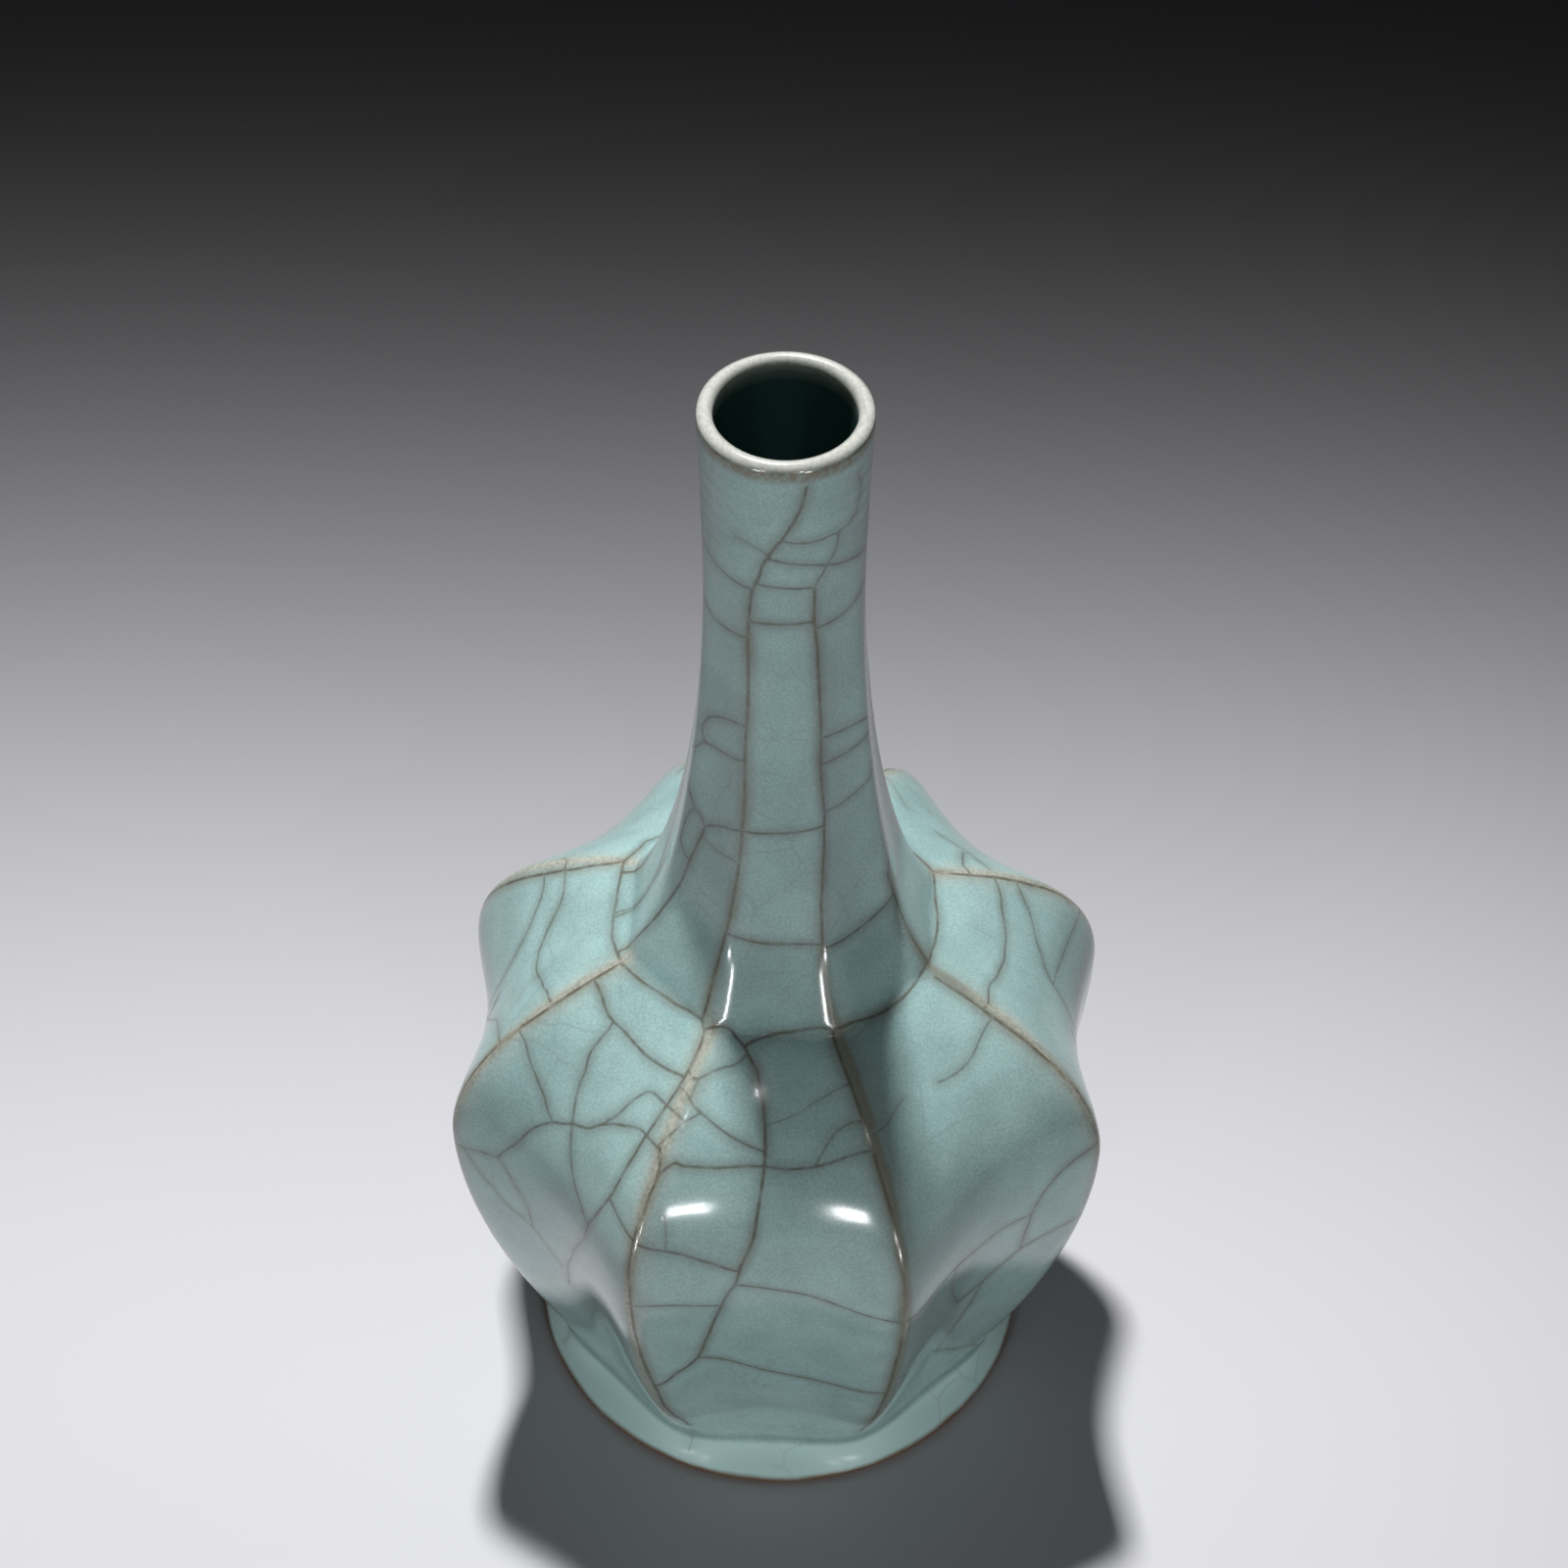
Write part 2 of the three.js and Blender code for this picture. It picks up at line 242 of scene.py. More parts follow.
FRONT_PANEL = [
    (1, [(-20, 108.4), (-17, 108.1), (-13.5, 107.2), (-10.5, 106.6), (-8, 105.7), (-5.3, 104.6),
        (-4, 103.3), (-2.7, 101.8), (-2.1, 100.3), (-1.6, 98.5), (-1.4, 96.5), (-1.4, 94.6), (-1.7, 92.5),
        (-2, 90.5), (-2.3, 88.5), (-2.6, 86.3), (-3, 84), (-4, 81.5), (-5, 79), (-5.3, 77.5), (-6, 74.6),
        (-7.3, 72), (-8.3, 69), (-9, 66.5), (-10, 63), (-10.8, 59.5), (-11.5, 57), (-12.2, 54), (-13.2, 51),
        (-15, 48), (-17.2, 45.5), (-19, 42.5), (-21, 40.5)]),
    (0.8, [(-21.8, 94.9), (-20.6, 96.1), (-19.2, 96.5), (-18, 96), (-15, 95.5), (-12, 95), (-9, 94.8),
        (-5, 94.7), (-2, 94.6), (0, 94.5), (3, 94.4), (6, 94.7), (9, 95.2), (12, 96), (15, 97), (18, 98),
        (20, 98.5), (21.5, 98.7)]),
    (0.5, [(9.5, 95.3), (11, 96.8), (13, 98.5), (15, 99.8), (17, 100.6), (19, 101.2), (20.5, 101.4)]),
    (0.25, [(-1, 99.4), (2, 99.8), (5, 100.4), (8, 101.2), (11, 102.2), (14, 103), (17, 103.8),
        (19.5, 104.2)]),
    (0.7, [(-25, 103.2), (-23.5, 103.4), (-22, 103.2), (-20.5, 102.7), (-19, 102), (-17.2, 101.4),
        (-15, 100.5), (-12, 99.3), (-9, 98.2), (-6, 97.3), (-3, 96.6), (-1.5, 96.4)]),
    (0.6, [(-17.2, 101.4), (-19, 101), (-20.3, 100.6), (-21.5, 99.9), (-23, 98.8), (-24, 97.9),
        (-26, 97.7)]),
    (0.6, [(-24.3, 105), (-22.5, 104.5), (-20.5, 104.4), (-18, 104.8), (-15, 105.1), (-12, 105.2),
        (-8.5, 106)]),
    (0.5, [(-20.5, 104.4), (-20.6, 103), (-20.9, 102.8)]),
    (0.5, [(-19, 89.8), (-18.5, 88.5), (-18, 86.5), (-17.6, 84)]),
    (0.8, [(-31, 87), (-29, 86.8), (-26, 86.4), (-23.3, 86.1), (-22, 85.6), (-20, 84.9), (-17.6, 84),
        (-15, 82.9), (-12, 81.2), (-10, 80.2), (-7.5, 78.8), (-5.4, 77.9)]),
    (0.8, [(-6, 74.7), (-4, 74.2), (-2, 73.8), (0, 73.4), (3, 73), (6, 72.8), (9, 72.3), (12, 71.5),
        (14, 71), (16, 70.5), (18.5, 70.3), (22.3, 70.2)]),
    (0.7, [(-23.5, 72.8), (-22, 72.3), (-20, 72), (-17.5, 71.4), (-15, 70.7), (-12.5, 69.7), (-10, 69),
        (-8.3, 68.6)]),
    (0.9, [(-13.2, 51), (-12, 50.6), (-10, 49.5), (-8, 48), (-6, 46.2), (-4, 44.7), (-2, 43.2), (0, 42.2),
        (2, 41.6), (5, 41), (9, 40.8), (13, 40.7), (17, 40.6), (20, 41), (22, 41.5)]),
]
LEFT_PANEL = [
    (0.9, [(-25.4, 107.4), (-24.2, 106.9), (-23.8, 105.9), (-24, 104.8), (-24.4, 103.5), (-25.6, 101.4),
        (-26.4, 99.7), (-26.9, 98.7), (-27.6, 97.2), (-28.3, 95), (-29, 93), (-29.8, 90), (-30.3, 88),
        (-30.9, 86.5), (-31.8, 84.5), (-32.5, 83), (-33.3, 81), (-34.5, 78.5), (-34.8, 77), (-35.5, 74),
        (-37, 71), (-38.5, 68), (-40, 65), (-41.3, 62), (-42.5, 59), (-44, 56), (-45.3, 52.5), (-46.5, 48),
        (-48, 43)]),
    (0.9, [(-66.5, 105.1), (-64, 104.9), (-61, 104.4), (-58, 103.7), (-55, 103.1), (-52, 102.8),
        (-49, 102.7), (-46, 102.5), (-42, 102.4), (-38, 102.5), (-34, 102.9), (-30, 103.4), (-27.5, 103.8),
        (-25.3, 104.1)]),
    (0.7, [(-53, 102.9), (-52.5, 102), (-52.4, 100.5), (-52.2, 99), (-51.3, 97.8), (-50.3, 96.8),
        (-49.8, 95.5), (-49, 94), (-48.2, 92.8), (-47.3, 91.5), (-46.3, 90), (-45.5, 88.8), (-44.5, 87.3),
        (-43.2, 85.5), (-41.5, 83.5), (-40, 82), (-38, 80.7), (-36.5, 79.5), (-35, 78.3)]),
    (0.6, [(-67.3, 97.2), (-65.5, 96.8), (-64, 96.2), (-62, 95), (-60, 93.8), (-58, 92.8), (-56.3, 91.8),
        (-54.5, 90.9), (-53, 89.7), (-51.5, 88.8), (-50.2, 88.2)]),
    (0.7, [(-46.3, 90), (-48, 89.1), (-50.2, 88.3), (-51.8, 87.2), (-53, 86), (-54, 84.5), (-54.8, 82.5),
        (-55.5, 81), (-56.7, 79), (-57.8, 77), (-58.5, 75.6), (-60, 74.9), (-62, 74.2), (-64, 73),
        (-65.5, 72.3), (-67.5, 71.8)]),
    (0.8, [(-46.3, 90), (-44, 90.6), (-42, 91.3), (-40.3, 92.6), (-38.5, 93.6), (-36, 94.8), (-33.5, 95.8),
        (-31, 96.8), (-29, 97.4), (-27, 97.6), (-25, 97.8), (-22.5, 97.9)]),
    (0.7, [(-39.5, 93), (-38.5, 94.2), (-37, 95.5), (-36, 97), (-35, 98.3), (-33.5, 99.6), (-32, 100.5),
        (-30, 101), (-28, 101.2), (-26, 101.4), (-23, 101.5), (-21.5, 101.2), (-20, 100.8)]),
    (0.6, [(-58.5, 75.5), (-57, 73.5), (-55.8, 71.5), (-54.8, 69.5), (-53.5, 67), (-53, 64), (-53, 58.5)]),
    (0.6, [(-65, 72), (-64, 70.5), (-62.5, 67.5), (-60.5, 65), (-59, 62.5), (-57, 60.8), (-55, 60),
        (-53, 58.5), (-50, 54), (-46.5, 48)]),
]
RIGHT_PANEL = [
    (0.5, [(65.8, 102.2), (64, 101.9), (62, 101.4), (60, 100.8), (58, 100.1), (56, 99.4), (54, 98.9),
        (52, 98.6), (50, 98.4), (48, 98.4), (46, 98.5), (44.5, 98.7)]),
    (0.25, [(23.5, 100.2), (27, 100), (30, 100.2), (33.5, 100.3)]),
    (0.8, [(67.6, 78.5), (66.5, 78), (65, 77.8), (63, 77.3), (61, 76.2), (59.5, 75), (58, 73.2), (57, 71.5),
        (56, 69), (55.4, 67), (55.2, 64), (54.9, 61), (54.9, 58), (55, 55.8)]),
    (0.8, [(55.2, 66.8), (53, 67.2), (50, 67.5), (47, 67.5), (44, 67.4), (41, 67.4), (38.5, 67.9),
        (36, 68.5), (33, 68.9), (29, 69.1), (26, 69.5), (22.5, 70.2)]),
    (0.7, [(36, 68.5), (36, 66), (35.6, 63), (36.5, 59.5), (37.8, 56), (39.3, 52.5), (41, 50.3)]),
    (0.8, [(67.5, 57.6), (65.5, 57.2), (63, 57), (60, 56.7), (57, 56.2), (55, 55.6), (52.2, 53.5),
        (49.6, 52), (47.5, 50.8), (44.8, 50.4), (41.2, 50.4)]),
    (0.7, [(47.5, 50.8), (47, 48), (46.5, 45), (45.8, 42), (44.5, 39.5), (43, 36), (41, 33), (39, 31.5)]),
    (0.4, [(23.3, 47.6), (26, 45.2), (28.5, 42.2), (33.8, 36.6), (39, 31.5)]),
    (0.8, [(39, 31.5), (41, 29), (44, 26), (47, 23), (50, 19.7), (52.5, 17.8), (58, 14), (62, 9)]),
]
FAR_PANELS = [
    (0.7, [(65.8, 103.2), (67.5, 103.2), (71.6, 103), (75.2, 102.4), (78.7, 101.3), (82.2, 100.4),
        (85.8, 99.6), (88.7, 99.1), (92.2, 99), (95.8, 99.1), (99.3, 99.7), (102.8, 100.6), (106.4, 101.3),
        (109.3, 102.1), (111, 102.5)]),
    (0.6, [(111, 99.9), (108.1, 98.7), (105.2, 97), (102.2, 95.5), (99.3, 94.2), (97, 92.8), (94.6, 91.6),
        (93.1, 90.3), (92.2, 89.1), (90.5, 84), (89.5, 79), (87.5, 74)]),
    (0.5, [(93.1, 89), (96.4, 88.6), (100.5, 88.1), (104.6, 87.8), (112.3, 87)]),
    (0.7, [(112.2, 104.8), (115.2, 104.8), (118.1, 103.9), (120.5, 103), (122.8, 101.8), (125, 100.8)]),
    (0.7, [(-67, 101.2), (-68.5, 101.2), (-72, 100.4), (-75, 99.2), (-78, 98.2), (-80.9, 97), (-83.8, 96),
        (-86.8, 95.6), (-89.7, 95.6), (-92.6, 96.3), (-95.6, 97.3), (-99, 98.8), (-102.6, 100.1),
        (-106.2, 100.8), (-109, 101.2)]),
    (0.6, [(-109.6, 98.3), (-107.4, 98), (-104.4, 97), (-101.5, 95.5), (-98.5, 93.8), (-95.6, 91.7),
        (-93.2, 89.3), (-91.5, 86.8), (-90.6, 84.8), (-89.5, 80), (-88, 74)]),
    (0.6, [(-67.6, 94.2), (-70.3, 93.5), (-73.2, 92), (-76.8, 90.1), (-79, 88.3), (-84, 83), (-89, 78)]),
    (0.5, [(-110, 101.1), (-112.4, 101.3), (-113.8, 100.4)]),
]
NECK = [
    (0.9, [(15.5, 216), (14.2, 214), (12.2, 212), (8.9, 210), (4.8, 208), (0.5, 206), (-5, 204),
        (-9.4, 202), (-13.3, 200), (-15, 198), (-18, 196), (-20.5, 194), (-21.5, 192), (-22.2, 190),
        (-22.5, 188.5)]),
    (0.6, [(0, 205.8), (5, 205.2), (13.9, 204.9), (22.8, 204.8), (36, 205), (47, 205.2), (52, 205.6),
        (57, 207), (60, 209), (61, 211), (60, 212.5), (57, 213.8)]),
    (0.6, [(40.6, 204.9), (38.9, 202), (35, 200.4), (31.7, 199.3), (28.9, 197.9), (25, 196.7),
        (23, 195.4)]),
    (0.8, [(-8.9, 201.8), (0, 201.3), (10, 200.8), (20.6, 200.2), (31.7, 199.3), (40.6, 198.5),
        (50.6, 197.8), (58.3, 197.3), (76, 196)]),
    (0.5, [(-33, 204.3), (-25, 204.1), (-19.4, 203.7), (-14, 203.3), (-10.5, 202.7)]),
    (0.8, [(-18.5, 196.3), (-9, 196.1), (0, 196), (10, 195.8), (23, 195.6)]),
    (0.6, [(-21, 194.9), (-30.6, 195.1), (-39.4, 195.3), (-49.4, 195.8), (-59.4, 196.5), (-76, 198)]),
    (0.8, [(-22, 188.4), (-8, 188.4), (8, 188.5), (20, 188.7), (22.5, 188.5)]),
    (0.7, [(23.9, 187.3), (36, 187.1), (47, 187.2), (56, 187.7), (63.9, 188.5), (71.7, 189.4), (77, 190)]),
    (0.7, [(-22.8, 184.8), (-32.8, 184.4), (-42.8, 184.1), (-52.8, 184.2), (-60.6, 184.8), (-65, 185.4),
        (-76, 187)]),
    (0.6, [(-22.6, 166.8), (-30, 166.3), (-40, 165.4), (-50, 164.2), (-55, 163.3), (-59, 161.9),
        (-61.3, 160.3), (-61, 159), (-58.3, 157.4)]),
    (0.7, [(-22.6, 159.7), (-30.6, 158.8), (-40.6, 158.1), (-50.6, 157.6), (-58.3, 157.3), (-62.2, 156),
        (-66, 154.7), (-70.6, 153.5), (-76, 152)]),
    (0.7, [(26.7, 164.3), (36, 163.5), (47, 162.8), (58.3, 162.4), (67, 162), (72.8, 161), (78, 160)]),
    (0.6, [(26, 158.8), (36, 158.2), (47, 157.7), (56, 157.9), (64, 158.3), (77, 159)]),
    (0.6, [(28.3, 149), (34.4, 148.4), (42.8, 148.1), (49.4, 148.2), (58.3, 148.8), (65, 149.6),
        (69.4, 150.9), (76, 153)]),
    (0.8, [(-21.7, 145.4), (-13.9, 145), (-6.1, 144.9), (2.8, 145), (11.7, 145.5), (19.4, 146.2),
        (26.1, 146.5)]),
    (0.7, [(-21.7, 145.3), (-30.6, 144.2), (-38.3, 143), (-45, 141.8), (-48.3, 140.9), (-50, 140.3),
        (-52.8, 141.6), (-56, 142.2), (-59.4, 142.6), (-63.9, 144.5), (-76, 148)]),
    (0.6, [(-59.4, 142.6), (-62.8, 140.9), (-64.4, 138.7), (-65.2, 135), (-62.8, 133.3), (-58.9, 132.2),
        (-57.2, 131.8)]),
    (0.9, [(-50, 140.3), (-51, 138.7), (-52.8, 137), (-54.4, 134.7), (-56, 132.4), (-57, 130.2),
        (-58.3, 127), (-60, 124.4), (-61.9, 121.8), (-63.9, 119.2), (-66, 116.2), (-68.6, 113.2),
        (-70.8, 110.7), (-71.7, 108.7), (-72, 106.9)]),
    (0.4, [(-22.8, 138.9), (-27.2, 138.7), (-32.8, 138.1), (-39.4, 137.9), (-46, 138), (-51, 138.5)]),
    (0.8, [(-25, 124.6), (-19.4, 124.1), (-13.9, 123.5), (-7.2, 123), (0.6, 122.9), (9.4, 123.1),
        (19.4, 123.3), (20.8, 123.4)]),
    (0.7, [(20.8, 122.6), (28.3, 122.2), (36, 121.9), (45, 121.9), (53.9, 122.3), (60.6, 123),
        (65.6, 123.8)]),
    (0.6, [(-78, 206), (-76, 198), (-77, 190), (-75, 180), (-76, 170), (-77, 160), (-75, 150), (-76, 142),
        (-79, 134), (-84, 126), (-88, 118), (-90, 112), (-91, 106)]),
    (0.6, [(78, 206), (76, 198), (77, 190), (79, 180), (78, 170), (76, 160), (77, 150), (75, 140),
        (70, 132), (65.2, 128)]),
]


def length(name, description, default):
    """A size of the vase."""
    return bpy.props.FloatProperty(name=name, description=description, default=default, unit="LENGTH")


def power(name, description, default):
    """The power of a lamp."""
    return bpy.props.FloatProperty(name=name, description=description, default=default, unit="POWER")


def tint(name, description, default):
    """A colour of the vase or the floor."""
    return bpy.props.FloatVectorProperty(name=name, description=description, default=default, subtype="COLOR")


class VaseShape(bpy.types.PropertyGroup):
    """Radii and walls of the vase, as the CAD model has them, apart from its softer ridges at the foot"""

    lip_radius: length("Lip Radius", "Outside of the rolled lip", 0.0129)
    waist_radius: length("Waist Radius", "Outside of the slight waist below the lip", 0.0124)
    crease_ridge: length("Crease Ridge", "Crest of a ridge at the crease", 0.0271)
    crease_valley: length("Crease Valley", "Middle of a panel at the crease", 0.0251)
    belly_ridge: length("Belly Ridge", "Crest of a ridge at the belly", 0.0594)
    belly_valley: length("Belly Valley", "Middle of a panel at the belly", 0.0515)
    foot_ridge: length("Foot Ridge", "Crest of a ridge above the foot, where glaze softens it", 0.0422)
    foot_valley: length("Foot Valley", "Middle of a panel above the foot", 0.0399)
    foot_rim: length("Foot Rim", "Outside of the flared round foot", 0.045)
    lip_wall: length("Lip Wall", "Thickness of the rolled lip", 0.0025)
    neck_wall: length("Neck Wall", "Thickness at the waist", 0.0032)
    crease_wall: length("Crease Wall", "Thickness at the crease", 0.0055)
    panel_wall: length("Panel Wall", "Thickness behind a panel", 0.004)
    ridge_wall: length("Ridge Wall", "Thickness behind a ridge", 0.0055)
    rim_chamfer: length("Rim Chamfer", "Height of the soft edge below the rim", 0.0012)
    pad_width: length("Pad Width", "Width of the flat ring that the vase stands on", 0.004)
    recess_radius: length("Recess Radius", "Top of the recess under the foot", 0.031)


class GlazeLook(bpy.types.PropertyGroup):
    """Colours of the glaze, its cracks and the bare clay"""

    celadon: tint("Celadon", "The glaze on the panels", (0.335, 0.490, 0.485))
    thick: tint("Thick Glaze", "Where the glaze has pooled", (0.205, 0.345, 0.350))
    thin: tint("Thin Glaze", "Along the ridges, where clay shows through", (0.445, 0.445, 0.380))
    lip: tint("Lip", "The near white lip", (0.475, 0.485, 0.45))
    crack: tint("Crack", "Stain in the cracks", (0.085, 0.068, 0.048))
    stain: tint("Stain", "Soft brown beside the cracks", (0.150, 0.150, 0.118))
    clay: tint("Bare Clay", "Fired clay on the pad and the edge of the foot", (0.090, 0.058, 0.036))
    # The inside colour is near black, over the whole hollow and the inner side of the lip
    inside: tint("Inside", "Thick dark glaze down the neck", (0.035, 0.085, 0.080))


class StudioLook(bpy.types.PropertyGroup):
    """The floor, the lamps and the camera"""

    floor: tint("Floor", "Pale floor round the vase", (0.555, 0.555, 0.577))
    # The far floor's colour is the painted dark where the lamps' light on the floor has faded out
    distance: tint("Far Floor", "The floor far behind the vase", (0.0035, 0.0035, 0.004))
    key_power: power("Top Lamp", "Power of the lamp above and behind", 31.2)
    front_power: power("Front Lamps", "Power of each of the two small front lamps", 1.0)
    low_power: power("Low Lamps", "Power of the two low front lamps together", 3.6)
    high_power: power("High Lamp", "Power of the small lamp above the camera", 0.3)
    room_light: bpy.props.FloatProperty(
        name="Room Light", description="Strength of the even light all round", default=0.004)
    focal_length: bpy.props.FloatProperty(
        name="Focal Length", description="Focal length in millimetres on a 36 mm sensor", default=76.98)


def section(height, ridge, valley=None, crest=SOFT_CREST):
    """The outline of a wall at one height: its height, its two radii and its crest rounding."""
    return np.array([height, ridge, ridge if valley is None else valley, crest], float)


def bowed(upper, lower, pulls, share):
    """One value along a bowed wall, from its upper end at share 0 to its lower end at share 1."""
    leave, meet = pulls
    span = lower - upper
    rest = 1 - share
    return (rest ** 3 * upper + 3 * rest ** 2 * share * (upper + leave * span)
            + 3 * rest * share ** 2 * (lower - meet * span) + share ** 3 * lower)


def wall(upper, lower, bow, steps=WALL_STEPS):
    """The sections of a bowed wall between two joints, with crests that change over its upper half."""
    share = np.linspace(0, 1, steps + 1)
    height = bowed(upper[0], lower[0], bow["height"], share)
    ridge = bowed(upper[1], lower[1], bow["ridge"], share)
    valley = bowed(upper[2], lower[2], bow["valley"], share)
    crest = upper[3] + (lower[3] - upper[3]) * np.minimum(1, 2 * share)
    return np.stack([height, ridge, valley, crest], axis=1)


class Surface:
    """A surface round the vase, skinned over sections and measured by bearing and by run."""

    def __init__(self, sections):
        self.sections = np.array(sections, float)
        middle = self.sections[:, 1:3].mean(axis=1)
        steps = np.hypot(np.diff(self.sections[:, 0]), np.diff(middle))
        self.runs = np.concatenate([[0], np.cumsum(steps)])

    def points(self, bearing, run):
        """Places on the surface. The radius falls from the rounded crest of a ridge into the valley."""
        height, ridge, valley, crest = (np.interp(run, self.runs, column) for column in self.sections.T)
        off_crest = np.mod(bearing, PANEL_TURN) - PANEL_TURN / 2
        fall = np.hypot(off_crest, crest) - crest
        full_fall = np.hypot(PANEL_TURN / 2, crest) - crest
        radius = valley + (ridge - valley) * (1 - fall / full_fall) ** 2
        turn = np.radians(bearing)
        return np.stack([radius * np.sin(turn), -radius * np.cos(turn), height], axis=-1)

    def normals(self, bearing, run, reach=0.6 * MM, turn=0.4):
        """Directions straight out of the surface, softened over a short reach as a glaze softens them."""
        along = self.points(bearing, run + reach) - self.points(bearing, run - reach)
        across = self.points(bearing + turn, run) - self.points(bearing - turn, run)
        out = np.cross(along, across)
        return out / np.maximum(np.linalg.norm(out, axis=-1, keepdims=True), LEAST)

    def pooled_normals(self, bearing, run):
        """The same on the outside, where glaze pools above the crease and on the flare of the foot."""
        out = self.normals(bearing, run)
        rounded = self.normals(bearing, run, turn=POOL_ROUNDING)
        height = self.points(bearing, run)[..., 2]
        above = height - CREASE_HEIGHT
        share = np.minimum((above - POOL_START) / POOL_RISE, (POOL_TOP - above) / POOL_FALL)
        share = np.clip(share, 0, 1)
        share = POOL_SHARE * share * share * (3 - 2 * share)
        out += share[..., None] * (rounded - out)
        level = np.linalg.norm(out[..., :2], axis=-1)
        out[..., 2] += share * (POOL_SLOPE * level - out[..., 2])
        share = np.clip((FOOT_HEIGHT + FOOT_POOL_TOP - height) / FOOT_POOL_FALL, 0, 1)
        out += share[..., None] * (self.normals(bearing, run, turn=FOOT_ROUNDING) - out)
        return out / np.linalg.norm(out, axis=-1, keepdims=True)


class Vase:
    """The outside and the hollow of the whole vase, and where its luted sections meet."""

    def __init__(self, shape):
        roll = shape.lip_wall / 2
        waist = section(WAIST_HEIGHT, shape.waist_radius)
        bore = section(WAIST_HEIGHT, shape.waist_radius - shape.neck_wall)
        crease = section(CREASE_HEIGHT, shape.crease_ridge, shape.crease_valley, CRISP_CREST)
        belly = section(BELLY_HEIGHT, shape.belly_ridge, shape.belly_valley, KEEN_CREST)
        foot = section(FOOT_HEIGHT, shape.foot_ridge, shape.foot_valley, CRISP_CREST)
        lower_body = wall(belly, foot, LOWER_BOW)
        near_foot = np.clip((FOOT_HEIGHT + FOOT_SOFTENING - lower_body[:, 0]) / FOOT_SOFTENING, 0, 1)
        lower_body[:, 3] += (SOFT_CREST - CRISP_CREST) * near_foot ** 2
        rim = section(shape.rim_chamfer, shape.foot_rim)
        pad_outside = section(0, shape.foot_rim - shape.rim_chamfer / 2)
        pad_inside = section(0, pad_outside[1] - shape.pad_width)
        recess_foot = section(shape.rim_chamfer, pad_inside[1] - shape.rim_chamfer / 2)
        recess_top = section(FOOT_HEIGHT, shape.recess_radius)
        lip_outside = section(LIP_HEIGHT - roll, shape.lip_radius)
        lip_inside = section(LIP_HEIGHT - roll, shape.lip_radius - shape.lip_wall)
        lip = []
        for turn in np.linspace(math.pi, 0, LIP_STEPS + 1)[1:-1]:
            height = LIP_HEIGHT - roll + roll * math.sin(turn)
            lip.append(section(height, shape.lip_radius - roll + roll * math.cos(turn)))
        collar_bore = wall(lip_inside, bore, COLLAR_BOW)[::-1]
        collar = np.vstack([collar_bore, lip, wall(lip_outside, waist, COLLAR_BOW)])
        foot_ring = np.vstack([
            wall(lower_body[-1], rim, FOOT_BOW),
            wall(rim, pad_outside, RIM_BOW, EDGE_STEPS)[1:],
            wall(pad_inside, recess_foot, RIM_BOW, EDGE_STEPS),
            wall(recess_top, recess_foot, RECESS_BOW)[::-1][1:],
        ])
        stretches = [
            ("mouth_collar", collar),
            ("neck", wall(waist, crease, NECK_BOW)),
            ("shoulder", wall(crease, belly, SHOULDER_BOW)),
            ("lower_body", lower_body),
            ("foot_ring", foot_ring),
        ]
        rows = [collar]
        ends = [len(collar) - 1]
        for _, sections in stretches[1:]:
            rows.append(sections[1:])
            ends.append(ends[-1] + len(sections) - 1)
        self.outside = Surface(np.vstack(rows))
        joints = [0] + [self.outside.runs[end] for end in ends]
        self.spans = {name: (joints[index], joints[index + 1]) for index, (name, _) in enumerate(stretches)}
        self.lip_run = self.outside.runs[WALL_STEPS + LIP_STEPS // 2]
        throat = section(CREASE_HEIGHT, shape.crease_valley - shape.crease_wall)
        belly_hollow = self.hollow_of(belly, shape)
        foot_hollow = self.hollow_of(foot, shape)
        self.hollows = {
            "neck": Surface(wall(bore, throat, BORE_BOW)),
            "shoulder": Surface(wall(throat, belly_hollow, THROAT_BOW)),
            "lower_body": Surface(wall(belly_hollow, foot_hollow, LOWER_BOW)),
        }
        outer_rows = self.outside.runs >= self.lip_run
        self.outer_runs = self.outside.runs[outer_rows]
        self.outer_heights = self.outside.sections[outer_rows, 0]

    @staticmethod
    def hollow_of(outline, shape):
        """The section inside a ridged wall, which is thicker behind a ridge than behind a panel."""
        return section(outline[0], outline[1] - shape.ridge_wall, outline[2] - shape.panel_wall)

    def run_at(self, height):
        """How far down the outside a height is, for heights between the foot's rim and the lip."""
        shown = slice(0, int(np.argmin(self.outer_heights)) + 1)
        return np.interp(-np.asarray(height), -self.outer_heights[shown], self.outer_runs[shown])


def smooth_route(points, spacing):
    """A route through points, rounded as a crack is, with a point about every spacing."""
    points = np.array(points, float)
    padded = np.vstack([2 * points[0] - points[1], points, 2 * points[-1] - points[-2]])
    route = []
    for index in range(1, len(padded) - 2):
        before, start, end, after = padded[index - 1:index + 3]
        steps = max(1, int(math.ceil(np.linalg.norm(end - start) / spacing)))
        for step in range(steps):
            share = step / steps
            route.append(0.5 * ((2 * start) + (end - before) * share
                                + (2 * before - 5 * start + 4 * end - after) * share ** 2
                                + (3 * start - before - 3 * end + after) * share ** 3))
    route.append(padded[-2])
    return np.array(route)


def moved(cracks, place):
    """The same cracks with every point where a function puts it."""
    return [(depth, [place(*point) for point in points]) for depth, points in cracks]


def mirrored(cracks, axis):
    """The same cracks on the other side of an upright plane through a bearing."""
    return moved(cracks, lambda bearing, height: (2 * axis - bearing, height))


def turned(cracks, turn):
    """The same cracks turned about the axis of the vase."""
    return moved(cracks, lambda bearing, height: (bearing + turn, height))


def below(cracks, top):
    """The parts of the cracks that lie below a height."""
    kept = []
    for depth, points in cracks:
        low = [point for point in points if point[1] <= top]
        if len(low) > 1:
            kept.append((depth, low))
    return kept


